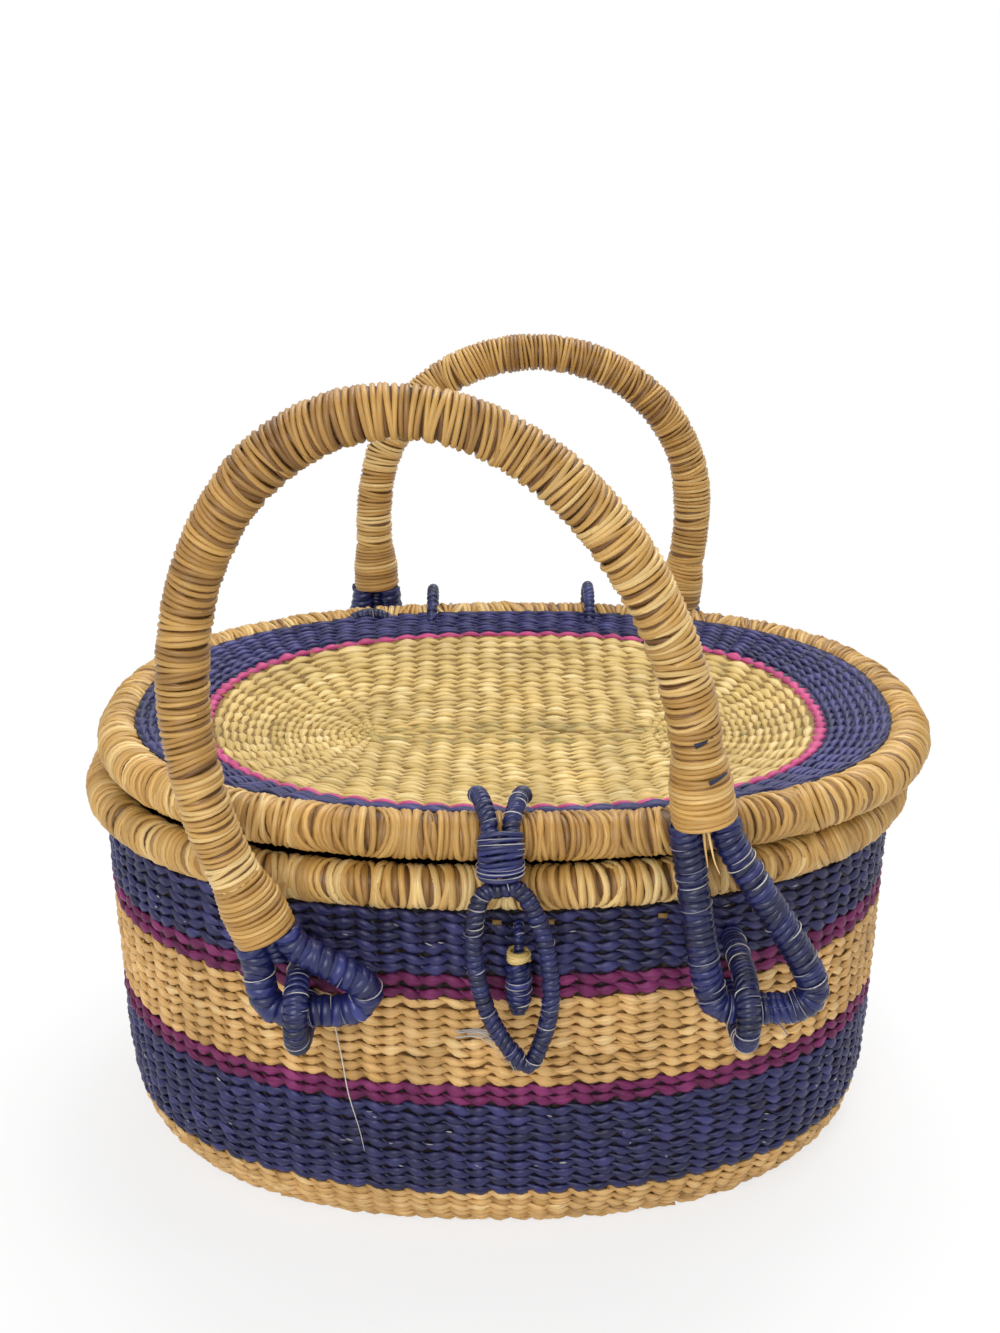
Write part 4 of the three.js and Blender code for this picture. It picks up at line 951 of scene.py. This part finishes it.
def build_handle(label, side, sizes, rng):
    """A handle with its cuffs, rings and wall loops. Its side is -1 at the front and 1 at the back."""
    *shape, turns = sizes
    axis = joint_place(f"{label}_handle_swing")
    slope = math.tan(HANDLE_LEAN)

    def plane_depth(z):
        return axis[1] - side * slope * (z - axis[2])

    path = handle_path(*shape, plane_depth)
    normal = unit(np.array([0, 1, side * slope]))
    length = path_length(path)
    body = f"{label}_handle"
    straw = Straw()
    # The bundle's dark core straw is painted shade where it shows between the windings
    tube(straw, path, normal, HANDLE_CORE_RADIUS, sides=BUNDLE_SIDES)
    add_piece(f"{body}_bundle", straw, CORE_PAINTED_SHADE, body, "straw_core", f"{body}_core")
    spots = np.linspace(0, length, len(path))
    start = CUFF_LENGTH - CUFF_OVERLAP
    main = even_path(path[(spots > start) & (spots < length - start)], HANDLE_POINTS)
    straw = Straw()
    swell = HANDLE_WRAP_RADIUS * (1 + uneven(rng, len(main), HANDLE_SWELL, False))
    pitch = path_length(main) / turns
    # Painted shade, strongest at the top of the arch
    arch = np.sin(np.linspace(0, np.pi, turns * WRAP_STEPS)) ** HANDLE_TOP_SHADE_POWER
    tone = HANDLE_TONE - HANDLE_TOP_PAINTED_SHADE * arch
    # The lower layer's extra darkness is painted shade in the grooves
    for (depth, width, looks), tint in zip(HANDLE_LAYERS, (tone - UNDER_LAYER_PAINTED_SHADE, tone)):
        looks = {"steps": WRAP_STEPS, "tint": tint, **looks}
        wind(straw, main, normal, swell - depth, turns, rng, pitch * width, **looks)
    add_piece(f"{body}_windings", straw, RIM_STRAW, body, "straw_natural", f"{body}_wrap")
    for name, end in ENDS:
        inward = path if end < 0 else path[::-1]
        build_cuff(f"{body}_{name}", inward, spots, normal, body, rng)
        x = FITTINGS_X + end * WALL_LOOP_HALF_SPACING
        tip = inward[0]
        axial = unit(tip - inward[4])
        ring = handle_ring(tip, axial, normal, np.array([x, axis[1], axis[2]]))
        node = f"{body}_{name}_ring"
        looks = RING_LOOKS[name]
        wound_piece(f"{body}_{name}_wound_ring", ring, normal, RING_RADIUS, body, rng, node, **looks)
        if name == "left":
            web = np.linspace(tip, tip + axial * RING_WEB_LENGTH, 24)
            wound_detail(f"{body}_{name}_ring_web", web, normal, RING_WEB_RADIUS, RING_WEB_TURNS, body, rng)
        loop = wall_loop(x, side, axis)
        node = f"{label}_{name}_wall_loop"
        name = f"{label}_{name}_wound_loop"
        wound_piece(name, loop, X_AXIS, WALL_LOOP_RADIUS, "basket", rng, node, **WALL_LOOP_LOOKS)


# Hinges, clasp and toggle


def build_hinges(rng):
    """The two hinge loops on the basket, and the knot on the lid."""
    axis = joint_place("lid_hinge")
    depth, height = axis[1], axis[2]
    for name, end in ENDS:
        x = FITTINGS_X + end * HINGE_HALF_SPACING
        rim = oval_depth(RIM_HALF_LENGTH, RIM_HALF_DEPTH, max(abs(x), abs(x - LID_X)))
        reach = depth - rim + LID_RIM[0] + HINGE_TURNING_ROOM + HINGE_LOOP_RADIUS
        inside = wall_depth(x, HINGE_ROOT_HEIGHT, WALL_THICKNESS) - SEAT_GAP
        outside = wall_depth(x, HINGE_ROOT_HEIGHT)
        points = [
            (x, inside + ROOT_DEPTH, HINGE_ROOT_HEIGHT),
            (x, inside - HINGE_LOOP_RADIUS, HINGE_ROOT_HEIGHT),
            (x, depth - reach, RIM_HEIGHT),
        ]
        for turn in np.linspace(np.pi, 0, 7):
            points.append((x, depth + reach * math.cos(turn), height + reach * math.sin(turn)))
        points.append((x, depth + reach - HINGE_LOOP_RADIUS, RIM_HEIGHT))
        points.append((x, outside + HINGE_LOOP_RADIUS, HINGE_ROOT_HEIGHT))
        points.append((x, outside - ROOT_DEPTH, HINGE_ROOT_HEIGHT))
        path = smooth_path(points, 200)
        node = f"hinge_loop_{name}"
        name = f"hinge_{name}_wound_loop"
        wound_piece(name, path, X_AXIS, HINGE_LOOP_RADIUS, "basket", rng, node, **HINGE_LOOP_LOOKS)
    knot = (smooth_path(LID_KNOT, 60), Y_AXIS, LID_KNOT_RADIUS, LID_KNOT_TURNS)
    wound_detail("lid_knot", *knot, "lid", rng)
    pale_lines("lid_knot_pale_lines", *knot, LID_KNOT_PALE_SHARE, "lid", rng)


def strap_path(x, depth, side, end):
    """A strap's centre line, from its horn behind the lid's rim over the rim and down to its end."""
    clear_width = LID_RIM[0] + STRAP_RADIUS + SEAT_GAP
    clear_height = LID_RIM[1] + STRAP_RADIUS + SEAT_GAP
    points = []
    for share in np.linspace(1, 0, 5):
        turn = math.radians(STRAP_FRONT_ANGLE + (HORN_ANGLE - STRAP_FRONT_ANGLE) * share)
        spread = STRAP_HALF_SPACING + (HORN_HALF_SPACING - STRAP_HALF_SPACING) * share
        y = RIM_HALF_DEPTH + STRAP_STANDOFF * clear_width * math.cos(turn)
        z = LID_HEIGHT + STRAP_STANDOFF * clear_height * math.sin(turn)
        points.append((x + side * spread, -y, z))
    for z in (LID_HEIGHT, LID_HEIGHT - BINDING_HEIGHT / 2, end):
        points.append((x + side * STRAP_HALF_SPACING, -depth, z))
    return smooth_path(points, 120)


def build_clasp(rng):
    axis = joint_place("clasp_swing")
    x, depth, loop_height = axis[0], -axis[1], axis[2]
    strap_end = LID_HEIGHT - BINDING_HEIGHT - STRAP_TAIL
    for name, side in ENDS:
        path = strap_path(x, depth, side, strap_end)
        node = f"clasp_strap_{name}"
        wound_piece(f"clasp_{name}_wound_strap", path, X_AXIS, STRAP_RADIUS, "lid", rng, node, **CLASP_LOOKS)
    straw = Straw()
    middle = path * (0, 1, 1) + (x, 0, 0)
    height = middle[:, 2]
    shown = (height < LID_HEIGHT + BINDING_SHOWN_ABOVE) & (height > strap_end + BINDING_END_ROOM)
    flat = BINDING_FLATNESS
    binding = (even_path(middle[shown], 40), X_AXIS, BINDING_HALF_WIDTH / flat, BINDING_TURNS)
    wind(straw, *binding, rng, flat=flat, **BINDING_LOOKS)
    add_piece("clasp_thread_binding", straw, WOUND_BLUE, "lid", "straw_blue", "clasp_binding")
    pale_lines("clasp_binding_pale_lines", *binding, BINDING_PALE_SHARE, "lid", rng, flat=flat)

    half = [(CLASP_LOOP_TOP_HALF_WIDTH * u, -w) for u, w in CLASP_LOOP_TOP]
    half += [(CLASP_LOOP_HALF_WIDTH * u, -CLASP_LOOP_LENGTH * w) for u, w in CLASP_LOOP_SIDE]
    outline = [*half, (0, -CLASP_LOOP_LENGTH), *[(-u, w) for u, w in half[:0:-1]]]
    c, s = math.cos(CLASP_LOOP_TILT), math.sin(CLASP_LOOP_TILT)
    points = [(x + u * c - w * s, -depth, loop_height + u * s + w * c) for u, w in outline]
    path = smooth_path(points, 240, closed=True)
    looks = {"closed": True, **CLASP_LOOKS}
    wound_piece("clasp_wound_loop", path, Y_AXIS, CLASP_LOOP_RADIUS, "clasp", rng, "clasp_loop", **looks)


def build_toggle(rng):
    axis = joint_place("toggle_swing")
    x, depth, height = axis[0], -axis[1], axis[2]
    foot = np.array([x, -depth, height - TOGGLE_LENGTH])
    top = np.array([x, -depth, height + TOGGLE_NECK_RADIUS])
    path = even_path(np.array([foot, top]), 90)
    radius = np.interp(height - path[:, 2], TOGGLE_PLACES, TOGGLE_RADII)
    wound_piece("toggle_wound_body", path, Y_AXIS, radius, "toggle", rng, "toggle_body", TOGGLE_PITCH)
    straw = Straw()
    low = height - NECK_END + TOGGLE_BINDING_ROOM
    high = height - TOGGLE_NECK_ROOM - TOGGLE_BINDING_ROOM
    binding = even_path(np.array([(x, -depth, low), (x, -depth, high)]), 20)
    binding = (binding, Y_AXIS, TOGGLE_BINDING_RADIUS, TOGGLE_BINDING_TURNS)
    wind(straw, *binding, rng, **TOGGLE_BINDING_LOOKS)
    add_piece("toggle_thread_binding", straw, PALE, "toggle", "straw_pale", "toggle_binding")
    cord_height = height + TOGGLE_NECK_RADIUS + SEAT_GAP + TOGGLE_DROP
    root = wall_depth(x, cord_height)
    points = [
        (x, -(root - ROOT_DEPTH), cord_height),
        (x, -(root + depth) / 2, cord_height),
        (x, -depth, cord_height - TOGGLE_DROP / 2),
        (x, -depth, cord_height - TOGGLE_DROP),
    ]
    path = smooth_path(points, 60)
    cord = (path, X_AXIS, TOGGLE_CORD_RADIUS)
    wound_piece("toggle_wound_cord", *cord, "basket", rng, "toggle_cord", TOGGLE_CORD_PITCH)


# Loose bits


def loose_fibres(name, fibres, material, body, slot):
    """A piece of thin straws, each narrower towards its end."""
    straw = Straw()
    for points, size, tone in fibres:
        path = smooth_path(points, 24)
        taper = np.linspace(1, 0.35, len(path))
        straw.add(path, -Y_AXIS, size[0] * taper, size[1] * taper, tone)
    add_piece(name, straw, material, body, slot)


def build_nicks(rng):
    """Thin undyed slivers where the dye missed the blue straw."""
    straw = Straw()
    taper = tapered(NICK_POINTS, NICK_BLUNTNESS)
    half_width, half_thick = NICK_SIZE[0] * taper, NICK_SIZE[1] * taper
    for low, high, count in NICKS:
        for _ in range(count):
            line = wall_line(rng.uniform(low, high), NICK_LINE_POINTS)
            place = rng.integers(0, NICK_LINE_POINTS - NICK_POINTS)
            path = line[place : place + NICK_POINTS]
            path = path[:1] + (path - path[:1]) * rng.uniform(*NICK_LENGTHS)
            path = path + np.linspace(-1, 1, NICK_POINTS)[:, None] * (0, 0, rng.uniform(*NICK_RISES))
            out = unit(path * (1, 1, 0))
            path = path + out * (WALL_MIDDLE - NICK_DEPTH)
            straw.add(path, out, half_width, half_thick, rng.uniform(0, 0.8))
    add_piece("wall_pale_nicks", straw, NICK, "basket", "straw_pale")


def build_loose_ends(rng):
    fibres = [LONG_FIBRE]
    for _ in range(TUFT_FIBRES):
        points = np.array(TUFT) + rng.uniform(-1, 1, 3) * TUFT_SPREAD
        fibres.append((points[: rng.integers(3, 6)], TUFT_FIBRE_SIZE, rng.uniform(0.2, 0.8)))
    loose_fibres("wall_loose_ends", fibres, NICK, "basket", "straw_pale")
    straw = Straw()
    for x, z in STAKE_BITS:
        y = -wall_depth(x, z) + STAKE_BIT_DEPTH
        path = np.array([(x + shift, y, z) for shift in (-STAKE_BIT_HALF_LENGTH, 0, STAKE_BIT_HALF_LENGTH)])
        straw.add(path, -Y_AXIS, *STAKE_BIT_SIZE, STAKE_BIT_TONE)
    add_piece("wall_stake_bits", straw, LID_STAKE, "basket", "straw_natural")
    loose_fibres("front_handle_loose_ends", CUFF_FIBRES, NATURAL, "front_handle", "straw_natural")
    loose_fibres("front_handle_loose_fibres", HANDLE_FIBRES, WOUND_BLUE, "front_handle", "straw_blue")


def seeded(number):
    """Each group of pieces has random numbers of its own, the same in every run."""
    return np.random.default_rng(SEED + number)


build_wall(seeded(0))
build_nicks(seeded(10))
build_loose_ends(seeded(11))
build_base(seeded(2))
build_lid(seeded(1))
build_rim("basket", BASKET_RIM, 0, "basket", seeded(3))
build_rim("lid", LID_RIM, LID_X, "lid", seeded(4))
build_handle("front", -1, FRONT_HANDLE, seeded(5))
build_handle("back", 1, BACK_HANDLE, seeded(6))
build_hinges(seeded(7))
build_clasp(seeded(8))
build_toggle(seeded(9))


# Stage, light and camera


def white_when_seen(tree, kind, lit, output, share=None):
    """Shows white to the camera and in reflections, in place of a shader that light falls on."""
    rays = shader_node(tree, "LightPath").outputs
    seen = rays["Is Camera Ray"]
    for ray in ("Is Glossy Ray", "Is Transmission Ray"):
        seen = maths(tree, "MAXIMUM", seen, rays[ray])
    if share:
        seen = maths(tree, "MULTIPLY", seen, share)
    white = shader_node(tree, kind, {"Color": WHITE, "Strength": 1}).outputs[kind]
    mixed = shader_node(tree, "MixShader", sources={"Fac": seen, 1: lit, 2: white})
    tree.links.new(mixed.outputs["Shader"], tree.nodes[output].inputs["Surface"])


def build_world():
    """Even light all round, and white where the world itself is seen."""
    world = bpy.data.worlds.new("studio")
    world.use_nodes = True
    bpy.context.scene.world = world
    light = world.node_tree.nodes["Background"]
    set_values(light, {"Color": WHITE, "Strength": WORLD_LIGHT})
    white_when_seen(world.node_tree, "Background", light.outputs["Background"], "World Output")


def build_floor():
    """A pale floor that keeps the shadow near the basket and turns white further out."""
    size = FLOOR_HALF_SIZE
    mesh = bpy.data.meshes.new("floor")
    corners = [(-size, -size, 0), (size, -size, 0), (size, size, 0), (-size, size, 0)]
    mesh.from_pydata(corners, [], [(0, 1, 2, 3)])
    floor = add_object("floor", mesh)
    material = bpy.data.materials.new("floor")
    material.use_nodes = True
    tree = material.node_tree
    shader = tree.nodes["Principled BSDF"]
    set_values(shader, {"Base Color": FLOOR_COLOUR, "Roughness": 0.9, "Specular IOR Level": 0.1})
    place = shader_node(tree, "NewGeometry").outputs["Position"]
    distance = shader_node(tree, "VectorMath", sources={0: place}, operation="LENGTH").outputs["Value"]
    bounds = {"From Min": FLOOR_FADE[0], "From Max": FLOOR_FADE[1], "To Min": FLOOR_LEAST_WHITE}
    fade = shader_node(tree, "MapRange", bounds, {"Value": distance})
    fade.interpolation_type = "SMOOTHSTEP"
    white_when_seen(tree, "Emission", shader.outputs["BSDF"], "Material Output", fade.outputs["Result"])
    mesh.materials.append(material)


def build_lamps():
    for name, (place, size, power) in LAMPS.items():
        lamp = bpy.data.lights.new(name, "AREA")
        lamp.shape = "DISK"
        lamp.size = size
        lamp.energy = power
        holder = add_object(name, lamp)
        holder.location = place
        holder.rotation_mode = "QUATERNION"
        holder.rotation_quaternion = (Vector(LAMP_TARGET) - Vector(place)).to_track_quat("-Z", "Y")


def build_camera():
    camera = bpy.data.cameras.new("camera")
    camera.sensor_width = SENSOR
    camera.lens = FOCAL_PIXELS * SENSOR / PHOTO_HEIGHT
    camera.clip_start = 0.01
    camera.clip_end = 50
    holder = add_object("camera", camera)
    turn = Matrix.Rotation(math.radians(CAMERA_YAW), 4, "Z")
    turn = turn @ Matrix.Rotation(math.radians(90 - CAMERA_PITCH), 4, "X")
    turn = turn @ Matrix.Rotation(math.radians(CAMERA_ROLL), 4, "Z")
    holder.matrix_world = Matrix.Translation(Vector(CAMERA_PLACE) * MILLIMETRE) @ turn
    bpy.context.scene.camera = holder


build_world()
build_floor()
build_lamps()
build_camera()
bpy.context.scene.view_settings.view_transform = "Standard"
